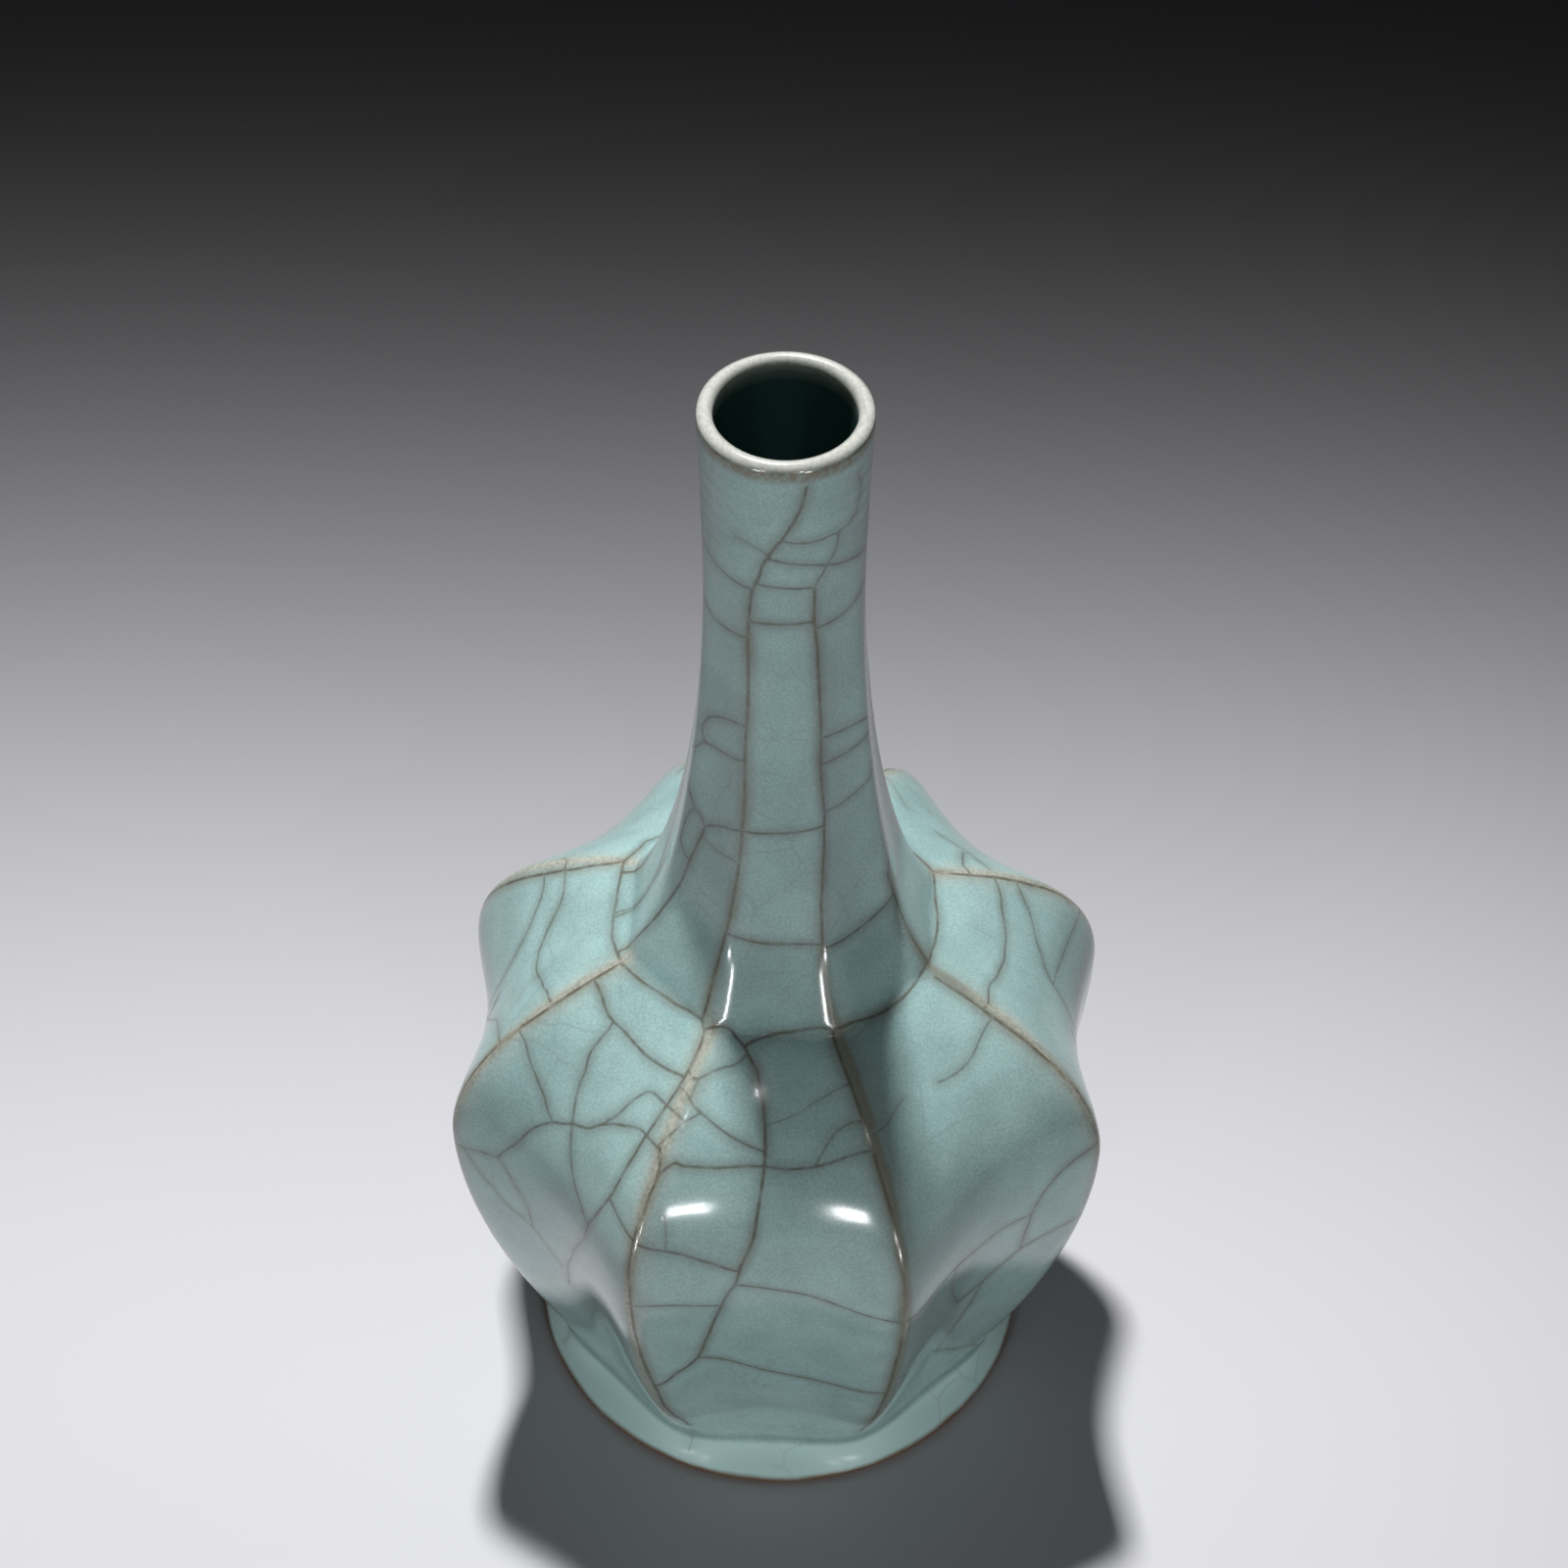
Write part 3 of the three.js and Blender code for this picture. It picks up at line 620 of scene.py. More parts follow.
def drifted(cracks):
    """The same cracks, a little higher or lower from place to place, so that no side is a plain copy."""
    foot, crease, top = STILL_HEIGHTS

    def drift(bearing, height):
        low, high = (foot, crease) if height < crease else (crease, top)
        sway = DRIFT * (high - low) * math.sin(math.pi * (height - low) / (high - low))
        return bearing, height + sway * math.sin(math.radians(bearing * DRIFT_WAVES + DRIFT_START))

    return moved(cracks, drift)


def all_crests():
    """Cracks that follow the crests of the eight ridges."""
    right = below(RIGHT_CREST, CREST_TOP)
    left = below(LEFT_CREST, CREST_TOP)
    side = turned(right, PANEL_TURN) + turned(left, -PANEL_TURN)
    unseen = mirrored(right, SIDE_CREST) + mirrored(left, -SIDE_CREST)
    back = mirrored(RIGHT_CREST, SIDE) + mirrored(LEFT_CREST, -SIDE)
    return RIGHT_CREST + LEFT_CREST + SIDE_CRESTS + side + drifted(unseen + back)


def all_panel_cracks():
    """Cracks that cross the panels and the neck, with the unseen sides guessed from the seen ones."""
    seen = CREASE_RING + FRONT_PANEL + LEFT_PANEL + RIGHT_PANEL + FAR_PANELS + NECK
    front = below(FRONT_PANEL, FRONT_TOP)
    sides = turned(front, SIDE) + mirrored(front, -PANEL_TURN)
    back = mirrored(FRONT_PANEL + RIGHT_PANEL, SIDE) + mirrored(below(LEFT_PANEL, LEFT_TOP), -SIDE)
    return seen + drifted(sides + back + mirrored(NECK, SIDE))


class Crackle:
    """Every crack of the glaze as a line on the vase, with its depth."""

    SPACING = 0.9 * MM

    def __init__(self, vase):
        self.vase = vase
        crests = all_crests()
        cracks = crests + all_panel_cracks()
        self.depths = [depth for depth, _ in cracks]
        self.lines = [self.line(points) for _, points in cracks]
        self.join_ends()
        self.tree, self.owners = self.tree_of(range(len(self.lines)))
        self.crest_tree, _ = self.tree_of(range(len(crests)))

    def line(self, points):
        """A crack's line as (bearing, run), rounded and evenly spaced on the surface."""
        bearings = np.array([bearing for bearing, _ in points], float)
        runs = self.vase.run_at(np.array([height for _, height in points]) * MM)
        middle = self.vase.outside.points(bearings.mean(), runs.mean())
        scale = math.radians(1) * math.hypot(middle[0], middle[1])
        flat = smooth_route(np.stack([bearings * scale, runs], axis=1), self.SPACING)
        return np.stack([flat[:, 0] / scale, flat[:, 1]], axis=1)

    def tree_of(self, chosen, splits=8):
        """A search tree over finely spaced places on some of the cracks, and whose crack each place is."""
        places = []
        owners = []
        for index in chosen:
            line = self.lines[index]
            shares = np.linspace(0, len(line) - 1, (len(line) - 1) * splits + 1)
            fine = np.stack([np.interp(shares, np.arange(len(line)), column) for column in line.T], axis=1)
            places.append(self.vase.outside.points(fine[:, 0], fine[:, 1]))
            owners += [(index, share) for share in shares]
        tree = KDTree(len(owners))
        for order, place in enumerate(np.vstack(places)):
            tree.insert(place, order)
        tree.balance()
        return tree, owners

    def join_ends(self, reach=1.7 * MM):
        """Each crack that ends close to another one is drawn on until it meets it."""
        tree, owners = self.tree_of(range(len(self.lines)))
        for index, line in enumerate(self.lines):
            for end in (0, -1):
                place = self.vase.outside.points(*line[end])
                near = [hit for hit in tree.find_range(Vector(place), reach) if owners[hit[1]][0] != index]
                if near:
                    other, share = owners[min(near, key=lambda hit: hit[2])[1]]
                    target = np.array([np.interp(share, np.arange(len(self.lines[other])), column)
                                       for column in self.lines[other].T])
                    target[0] += 360 * round((line[end][0] - target[0]) / 360)
                    line[end] = target

    def clipped(self, start, end):
        """The crack lines within one stretch of run, cut at its two joints and at the back seam."""
        pieces = []
        for line in self.lines:
            wrapped = line.copy()
            wrapped[:, 0] -= 360 * np.floor((wrapped[:, 0].mean() + 180) / 360)
            for shift in (-360, 0, 360):
                moved = wrapped + np.array([shift, 0])
                for part in cut_between([moved], 0, -180, 180):
                    pieces += cut_between([part], 1, start, end)
        return [piece for piece in pieces if len(piece) > 1]


def cut_between(lines, axis, low, high):
    """The parts of some lines whose value on one axis lies between two limits."""
    parts = []
    for line in lines:
        part = []
        for index, point in enumerate(line):
            inside = low <= point[axis] <= high
            if index:
                before = line[index - 1]
                crossings = []
                for limit in (low, high):
                    if (before[axis] - limit) * (point[axis] - limit) < 0:
                        share = (limit - before[axis]) / (point[axis] - before[axis])
                        crossing = before + share * (point - before)
                        crossing[axis] = limit
                        crossings.append((share, crossing))
                for _, crossing in sorted(crossings, key=lambda item: item[0]):
                    part.append(crossing)
                    if len(part) > 1 and not low <= point[axis] <= high:
                        parts.append(np.array(part))
                        part = []
            if inside:
                part.append(point)
            elif part and not low < part[-1][axis] < high and len(part) == 1:
                part = []
        if len(part) > 1:
            parts.append(np.array(part))
    return parts


def column_bearings(per_half_panel=13, crowding=1.45):
    """Bearings round the vase, crowded towards the crests, from one side of the back seam to the other."""
    steps = np.linspace(-1, 1, 2 * per_half_panel + 1)[:-1]
    half_panel = np.sign(steps) * np.abs(steps) ** crowding * PANEL_TURN / 2
    crests = np.arange(RIDGE_COUNT) * PANEL_TURN - 180 + PANEL_TURN / 2
    return np.append((crests[:, None] + half_panel).ravel(), 180.0)


COLUMNS = column_bearings()


def glazed_mesh(vase, crackle, name, row_spacing=1.25 * MM, clear=0.55 * MM):
    """The outside of one luted section as (places, faces, normals, runs, first ring, last ring).

    Crack lines are real edges in it, with rows of points beside them, so that they stay sharp."""
    start, end = vase.spans[name]
    outside = vase.outside
    radius = float(np.hypot(*outside.points(0, (start + end) / 2)[:2]))
    scale = math.radians(1) * radius
    rows = np.linspace(start, end, max(3, int(round((end - start) / row_spacing)) + 1))
    rows = np.union1d(rows, edges_within(outside, start, end))
    lines = crackle.clipped(start, end)
    flat = []
    edges = []
    for line in lines:
        first = len(flat)
        flat += [(bearing, run) for bearing, run in line]
        edges += [(first + step, first + step + 1) for step in range(len(line) - 1)]
    for line in lines:
        flat += beside(outside, line, start, end)
    for run in rows:
        on_joint = run in (start, end)
        for bearing in COLUMNS:
            on_seam = abs(bearing) == 180
            if on_joint or on_seam or crackle.tree.find(outside.points(bearing, run))[2] > clear:
                flat.append((bearing, run))
    points = [Vector((bearing * scale, run)) for bearing, run in flat]
    found = delaunay_2d_cdt(points, edges, [], 0, SAME_PLACE)
    bearings = np.array([point.x for point in found[0]]) / scale
    runs = np.array([point.y for point in found[0]])
    bearings = np.where(np.abs(np.abs(bearings) - 180) < ON_SEAM, np.sign(bearings) * 180, bearings)
    merged, keep = seam_merged(bearings, runs)
    faces = [[merged[corner] for corner in reversed(face)] for face in found[2]]
    faces = [face for face in faces if len(set(face)) == 3]
    bearings = bearings[keep]
    runs = runs[keep]
    first = ring_at(bearings, runs, start)
    last = ring_at(bearings, runs, end)
    return outside.points(bearings, runs), faces, outside.pooled_normals(bearings, runs), runs, first, last


def edges_within(surface, start, end, bend=0.2):
    """Runs at which the profile turns sharply, such as the pad's edges, so that a row lies on each."""
    middle = surface.sections[:, 1:3].mean(axis=1)
    turn = np.unwrap(np.arctan2(np.diff(surface.sections[:, 0]), np.diff(middle)))
    sharp = surface.runs[1:-1][np.abs(np.diff(turn)) > bend]
    return sharp[(sharp > start) & (sharp < end)]


def beside(surface, line, start, end, offsets=(0.45 * MM, 1.3 * MM)):
    """Points on both sides of a crack line, at even distances from it."""
    places = surface.points(line[:, 0], line[:, 1])
    scale = np.radians(1) * np.hypot(places[:, 0], places[:, 1])
    step = np.gradient(line, axis=0) * np.stack([scale, np.ones(len(line))], axis=1)
    stride = np.maximum(np.linalg.norm(step, axis=1), LEAST)
    sideways = np.stack([-step[:, 1] / stride / scale, step[:, 0] / stride], axis=1)
    points = []
    for offset in offsets:
        for side in (-1, 1):
            for bearing, run in line + side * offset * sideways:
                if abs(bearing) < NEAR_SEAM and start + JOINT_CLEAR < run < end - JOINT_CLEAR:
                    points.append((bearing, run))
    return points


def seam_merged(bearings, runs):
    """Where each point goes once the two sides of the back seam are one, and which points are kept."""
    keys = [round(run / SEAM_STEP) for run in runs]
    left = {keys[index]: index for index in np.nonzero(bearings == -180)[0]}
    kept = np.nonzero(bearings != 180)[0]
    where = {index: order for order, index in enumerate(kept)}
    for index in np.nonzero(bearings == 180)[0]:
        near = (keys[index] + step for step in (0, -1, 1, -2, 2))
        where[index] = where[next(left[key] for key in near if key in left)]
    return where, kept


def ring_at(bearings, runs, run):
    """The points on one joint, in order of bearing."""
    on_joint = np.nonzero(np.abs(runs - run) < SAME_PLACE)[0]
    return list(on_joint[np.argsort(bearings[on_joint])])


def zipped(outer, inner, places):
    """Faces of the flat ring between two rings of points, taken in order of bearing."""
    def turn(index):
        return math.atan2(places[index][0], -places[index][1])

    outer = sorted(outer, key=turn)
    inner = sorted(inner, key=turn)
    faces = []
    a, b = 0, 0
    while a < len(outer) or b < len(inner):
        next_outer = turn(outer[(a + 1) % len(outer)]) + (2 * math.pi if a + 1 >= len(outer) else 0)
        next_inner = turn(inner[(b + 1) % len(inner)]) + (2 * math.pi if b + 1 >= len(inner) else 0)
        here, there = outer[a % len(outer)], inner[b % len(inner)]
        if b >= len(inner) or (a < len(outer) and next_outer <= next_inner):
            faces.append([here, outer[(a + 1) % len(outer)], there])
            a += 1
        else:
            faces.append([here, inner[(b + 1) % len(inner)], there])
            b += 1
    return faces


def hollow_mesh(surface, first_index, rows=28):
    """The hollow inside a wall as (places, faces, normals, first ring, last ring)."""
    bearings = COLUMNS[:-1][::2]
    runs = np.linspace(0, surface.runs[-1], rows + 1)
    grid_bearing, grid_run = np.meshgrid(bearings, runs)
    places = surface.points(grid_bearing, grid_run).reshape(-1, 3)
    normals = -surface.normals(grid_bearing, grid_run).reshape(-1, 3)
    count = len(bearings)
    faces = []
    rings = [[first_index + row * count + column for column in range(count)] for row in range(rows + 1)]
    for upper, lower in zip(rings, rings[1:]):
        for column in range(count):
            beyond = (column + 1) % count
            faces.append([upper[column], upper[beyond], lower[beyond], lower[column]])
    return places, faces, normals, rings[0], rings[-1]


def facing(faces, places, downwards):
    """Flat ring faces turned to look up or down."""
    kept = []
    for face in faces:
        a, b, c = (places[corner] for corner in face)
        up = (b[0] - a[0]) * (c[1] - a[1]) - (b[1] - a[1]) * (c[0] - a[0])
        kept.append(list(reversed(face)) if (up > 0) == downwards else face)
    return kept


def build_wall(vase, crackle, name):
    """One luted section as a closed mesh: glazed outside, hollow inside and its flat joint faces."""
    places, faces, normals, runs, first, last = glazed_mesh(vase, crackle, name)
    outside_count = len(faces)
    glazed = len(places)
    if name in vase.hollows:
        hollow = hollow_mesh(vase.hollows[name], glazed)
        inner_places, inner_faces, inner_normals, inner_first, inner_last = hollow
        places = np.vstack([places, inner_places])
        normals = np.vstack([normals, inner_normals])
        flat_faces = facing(zipped(first, inner_first, places), places, False)
        flat_faces += facing(zipped(last, inner_last, places), places, True)
    else:
        inner_faces = []
        flat_faces = facing(zipped(first, last, places), places, name == "mouth_collar")
    mesh = bpy.data.meshes.new(name + "_glazed")
    mesh.from_pydata([tuple(place) for place in places], [], faces + inner_faces + flat_faces)
    mesh.update()
    inner_end = outside_count + len(inner_faces)
    corner_normals = []
    for polygon in mesh.polygons:
        polygon.use_smooth = True
        polygon.material_index = 0 if polygon.index < outside_count else 1
        if polygon.index >= inner_end:
            corner_normals += [polygon.normal] * polygon.loop_total
        else:
            corner_normals += [normals[vertex] for vertex in polygon.vertices]
    mesh.normals_split_custom_set(corner_normals)
    paint(mesh, vase, crackle, glazed, runs)
    piece = bpy.data.objects.new(name + "_glazed", mesh)
    bpy.context.scene.collection.objects.link(piece)
    return piece


def paint(mesh, vase, crackle, glazed, runs):
    """Writes where each glazed point lies: how far from a crack and a crest, and how far past the lip."""
    count = len(mesh.vertices)
    crack = np.full(count, CRACK_REACH, np.float32)
    depth = np.zeros(count, np.float32)
    crest = np.full(count, CREST_REACH, np.float32)
    past_lip = np.full(count, DEEP_INSIDE, np.float32)
    for index in range(glazed):
        place = mesh.vertices[index].co
        _, order, distance = crackle.tree.find(place)
        crack[index] = min(CRACK_REACH, distance / MM)
        depth[index] = crackle.depths[crackle.owners[order][0]]
        bearing = math.degrees(math.atan2(place.x, -place.y))
        off_crest = abs(bearing % PANEL_TURN - PANEL_TURN / 2)
        true_crest = math.radians(off_crest) * math.hypot(place.x, place.y) / MM
        beside_crack = crackle.crest_tree.find(place)[2] / MM
        on_neck = min(1.0, max(0.0, (place.z - CREASE_HEIGHT) / SKIRT_BLEND))
        crest[index] = min(CREST_REACH, true_crest + (beside_crack - true_crest) * on_neck)
    past_lip[:glazed] = (runs - vase.lip_run) / MM
    painted = {"crack_distance": crack, "crack_depth": depth, "crest_distance": crest, "past_lip": past_lip}
    for label, values in painted.items():
        mesh.attributes.new(label, "FLOAT", "POINT").data.foreach_set("value", values)


def feed(tree, node, inputs):
    """Gives a node's sockets their values and colours, or links them to other nodes' outputs."""
    for key, value in inputs.items():
        socket = node.inputs[key]
        if isinstance(value, bpy.types.NodeSocket):
            tree.links.new(value, socket)
        elif socket.type == "RGBA":
            socket.default_value = (*value[:3], 1)
        else:
            socket.default_value = value


def add_node(tree, kind, inputs, **settings):
    """A node in a tree, with its settings and its inputs, which are values or other nodes' outputs."""
    node = tree.nodes.new(kind)
    node.location = (len(tree.nodes) * 180, 0)
    for key, value in settings.items():
        setattr(node, key, value)
    feed(tree, node, inputs)
    return node


def math_node(tree, operation, *values, clamp=False):
    """The result of simple arithmetic on one to three values."""
    inputs = dict(enumerate(values))
    return add_node(tree, "ShaderNodeMath", inputs, operation=operation, use_clamp=clamp).outputs[0]


def times(tree, first, second):
    """The product of two values."""
    return math_node(tree, "MULTIPLY", first, second)


def plus(tree, first, second):
    """The sum of two values."""
    return math_node(tree, "ADD", first, second)


def away(tree, value, middle):
    """How far a value lies from a middle."""
    return math_node(tree, "ABSOLUTE", math_node(tree, "SUBTRACT", value, middle))


def fade(tree, value, start, end, high=1.0, low=0.0):
    """A smooth step that goes from high where value is start to low where it is end."""
    inputs = {"Value": value, "From Min": start, "From Max": end, "To Min": high, "To Max": low}
    return add_node(tree, "ShaderNodeMapRange", inputs, interpolation_type="SMOOTHSTEP").outputs["Result"]


def band(tree, value, rise, fall):
    """1 between two smooth steps, which are given as (start, end), and 0 beyond them."""
    return times(tree, fade(tree, value, *rise, 0.0, 1.0), fade(tree, value, *fall))


def mix_colour(tree, share, first, second, blend="MIX"):
    """Two colours mixed by a share, which may change over the surface."""
    inputs = {0: share, 6: first, 7: second}
    return add_node(tree, "ShaderNodeMix", inputs, data_type="RGBA", blend_type=blend).outputs[2]


def layered(tree, colour, layers):
    """A colour with others laid over it in their order, each as its share and its colour."""
    for share, layer in layers:
        colour = mix_colour(tree, share, colour, layer)
    return colour


def grey(tree, value):
    """A grey as bright as a value."""
    return add_node(tree, "ShaderNodeCombineColor", {"Red": value, "Green": value, "Blue": value}).outputs[0]


def parts_of(tree, place):
    """The X, Y and Z of a place."""
    return add_node(tree, "ShaderNodeSeparateXYZ", {0: place}).outputs


def attribute(tree, name):
    """A value painted on the piece's points."""
    return add_node(tree, "ShaderNodeAttribute", {}, attribute_name=name).outputs["Fac"]


def noise(tree, place, scale, detail=2.0, roughness=0.5):
    """Soft noise on the object's own coordinates, with scale in waves per metre."""
    inputs = {"Vector": place, "Scale": scale, "Detail": detail, "Roughness": roughness}
    return add_node(tree, "ShaderNodeTexNoise", inputs).outputs["Fac"]


def cell_edges(tree, place, scale):
    """How far a place is from the edge of a cell, with scale in cells per metre."""
    inputs = {"Vector": place, "Scale": scale}
    return add_node(tree, "ShaderNodeTexVoronoi", inputs, feature="DISTANCE_TO_EDGE").outputs["Distance"]


def bump(tree, height, strength, distance):
    """Normals that follow a fine relief."""
    inputs = {"Height": height, "Strength": strength, "Distance": distance}
    return add_node(tree, "ShaderNodeBump", inputs).outputs[0]


def new_group(name, inputs, outputs):
    """An empty shader node group with its sockets, what it is given and what it puts out."""
    group = bpy.data.node_groups.new(name, "ShaderNodeTree")
    for label, kind in inputs:
        group.interface.new_socket(label, in_out="INPUT", socket_type=kind)
    for label, kind in outputs:
        group.interface.new_socket(label, in_out="OUTPUT", socket_type=kind)
    return group, group.nodes.new("NodeGroupInput").outputs, group.nodes.new("NodeGroupOutput")


def place_group(tree, name, **inputs):
    """One of the shared node groups, placed in a material."""
    return add_node(tree, "ShaderNodeGroup", inputs, node_tree=bpy.data.node_groups[name]).outputs


def crackle_group():
    """Cracks in a glaze: a dark line, the stain beside it, and patches of fine hairlines."""
    group, given, result = new_group(
        "Crackle",
        [("Place", "NodeSocketVector"), ("Distance", "NodeSocketFloat"), ("Depth", "NodeSocketFloat")],
        [("Line", "NodeSocketFloat"), ("Stain", "NodeSocketFloat"), ("Hairline", "NodeSocketFloat")],
    )
    place = given["Place"]
    wander = math_node(group, "MULTIPLY_ADD", noise(group, place, 900, 3), 0.9, 0.5)
    wide = math_node(group, "MULTIPLY_ADD", given["Depth"], 0.55, 0.45)
    across = math_node(group, "DIVIDE", given["Distance"], times(group, wander, wide))
    strength = math_node(group, "MULTIPLY_ADD", given["Depth"], 0.75, 0.22)
    broken = fade(group, noise(group, place, 420), 0.34, 0.60, 0.60, 1.0)
    line = math_node(group, "MULTIPLY", fade(group, across, 0.0, 0.54), strength, clamp=True)
    patchy = noise(group, place, 120)
    stain = times(group, fade(group, given["Distance"], 0.0, 2.3), patchy)
    bent = add_node(group, "ShaderNodeTexNoise", {"Vector": place, "Scale": 60.0, "Detail": 2.0})
    bend = add_node(group, "ShaderNodeVectorMath", {0: bent.outputs["Color"], 1: (0.006, 0.006, 0.006)},
                    operation="MULTIPLY")
    warped = add_node(group, "ShaderNodeVectorMath", {0: place, 1: bend.outputs[0]}, operation="ADD")
    faint = fade(group, cell_edges(group, warped.outputs[0], 95.0), 0.0, 0.035)
    in_patches = fade(group, noise(group, place, 38, 1), 0.62, 0.50)
    feed(group, result, {
        "Line": times(group, line, broken),
        "Stain": math_node(group, "MULTIPLY", stain, strength, clamp=True),
        "Hairline": times(group, faint, in_patches),
    })


def glaze_group():
    """Depth in a glaze: clouds of colour, fine specks and an uneven skin."""
    group, given, result = new_group(
        "Glaze Depth",
        [("Place", "NodeSocketVector"), ("Glaze", "NodeSocketColor"), ("Thick", "NodeSocketColor"),
         ("Pooled", "NodeSocketFloat")],
        [("Colour", "NodeSocketColor"), ("Skin", "NodeSocketFloat")],
    )
    place = given["Place"]
    clouds = fade(group, noise(group, place, 34, 3), 0.30, 0.74, 0.0, 0.30)
    pooled = math_node(group, "ADD", clouds, given["Pooled"], clamp=True)
    fine = fade(group, noise(group, place, 2300), 0.32, 0.70, 0.89, 1.08)
    broad = fade(group, noise(group, place, 110, 3), 0.30, 0.70, 0.92, 1.07)
    grain = grey(group, times(group, fine, broad))
    ripple = times(group, noise(group, place, 75), 0.9)
    feed(group, result, {
        "Colour": mix_colour(group, 1.0, mix_colour(group, pooled, given["Glaze"], given["Thick"]), grain,
                             "MULTIPLY"),
        "Skin": math_node(group, "MULTIPLY_ADD", noise(group, place, 520), 0.16, ripple),
    })


def new_material(name):
    """A material with its tree, its Principled BSDF and the object's own coordinates."""
    material = bpy.data.materials.new(name)
    material.use_nodes = True
    tree = material.node_tree
    place = add_node(tree, "ShaderNodeTexCoord", {}).outputs["Object"]
    return material, tree, tree.nodes["Principled BSDF"], place


def crest_band(tree, place, height, look):
    """The thin glaze on the crests: its uneven distance from a crest, its strength and its colour."""
    uneven = plus(tree, noise(tree, place, 170, 3), 0.5)
    ragged = times(tree, attribute(tree, "crest_distance"), uneven)
    on_body = fade(tree, height, CREASE_HEIGHT + 12 * MM, CREASE_HEIGHT - 4 * MM, 0.20, 0.95)
    below_belly = fade(tree, height, BELLY_HEIGHT - 22 * MM, BELLY_HEIGHT + 8 * MM, 0.62, 1.0)
    above_foot = fade(tree, height, FOOT_HEIGHT + 6 * MM, FOOT_HEIGHT + MM)
    strength = times(tree, times(tree, on_body, below_belly), above_foot)
    parts = parts_of(tree, place)
    # The crest band on the right front ridge, where it faces the front, is mixed towards the darker stain
    # colour
    front_right_crest_darker = times(tree, fade(tree, away(tree, parts["X"], 18 * MM), 9 * MM, 20 * MM, 0.85),
                  fade(tree, parts["Y"], -12 * MM, -2 * MM))
    speckled = fade(tree, noise(tree, place, 1400, 3, 0.6), 0.36, 0.58, 0.72, 1.0)
    pale = mix_colour(tree, 1.0, look.thin, grey(tree, speckled), "MULTIPLY")
    return ragged, strength, mix_colour(tree, front_right_crest_darker, pale, look.stain)


def lip_layers(tree, place, past_lip, look):
    """The brown line below the lip, the near white lip, and the dark glaze within and its edge."""
    waved = math_node(tree, "MULTIPLY_ADD", noise(tree, place, 420), 0.9, past_lip)
    on_lip = times(tree, fade(tree, waved, 1.6, 2.6), fade(tree, waved, -1.6, -3.4))
    broken = fade(tree, noise(tree, place, 1300, 3), 0.35, 0.6, 0.6, 1.0)
    below_lip = times(tree, band(tree, waved, (1.5, 2.5), (3.2, 5.0)), broken)
    specks = fade(tree, noise(tree, place, 1700, 3, 0.6), 0.36, 0.56, 0.78, 1.0)
    edge_inside = band(tree, waved, (-1.7, -2.6), (-2.8, -4.6))
    return [
        (below_lip, BELOW_LIP_TINT),
        (on_lip, mix_colour(tree, specks, look.stain, look.lip)),
        (fade(tree, waved, -2.0, -4.2, 0.0, 1.0), look.inside),
        (times(tree, edge_inside, 0.6), look.stain),
    ]


def clay_edge(tree, place, height, look):
    """The bare clay that the glaze has drawn back from at the foot: its share and its colour."""
    edge = math_node(tree, "SUBTRACT", height, times(tree, noise(tree, place, 110, 3), 0.7 * MM))
    clay = mix_colour(tree, noise(tree, place, 800, 3), look.clay, [value * 1.9 for value in look.clay])
    return fade(tree, edge, 0.85 * MM, 1.75 * MM), clay


def glaze_relief(tree, past_lip, skin, line):
    """The height of the glaze's skin, with grooves at the cracks and throwing rings on the collar."""
    rings = math_node(tree, "SINE", math_node(tree, "MULTIPLY_ADD", past_lip, RING_PITCH, RING_START))
    on_collar = band(tree, past_lip, (4.0, 8.0), (14.0, 26.0))
    grooved = plus(tree, skin, times(tree, line, -0.5))
    return plus(tree, grooved, times(tree, rings, times(tree, on_collar, 0.3)))


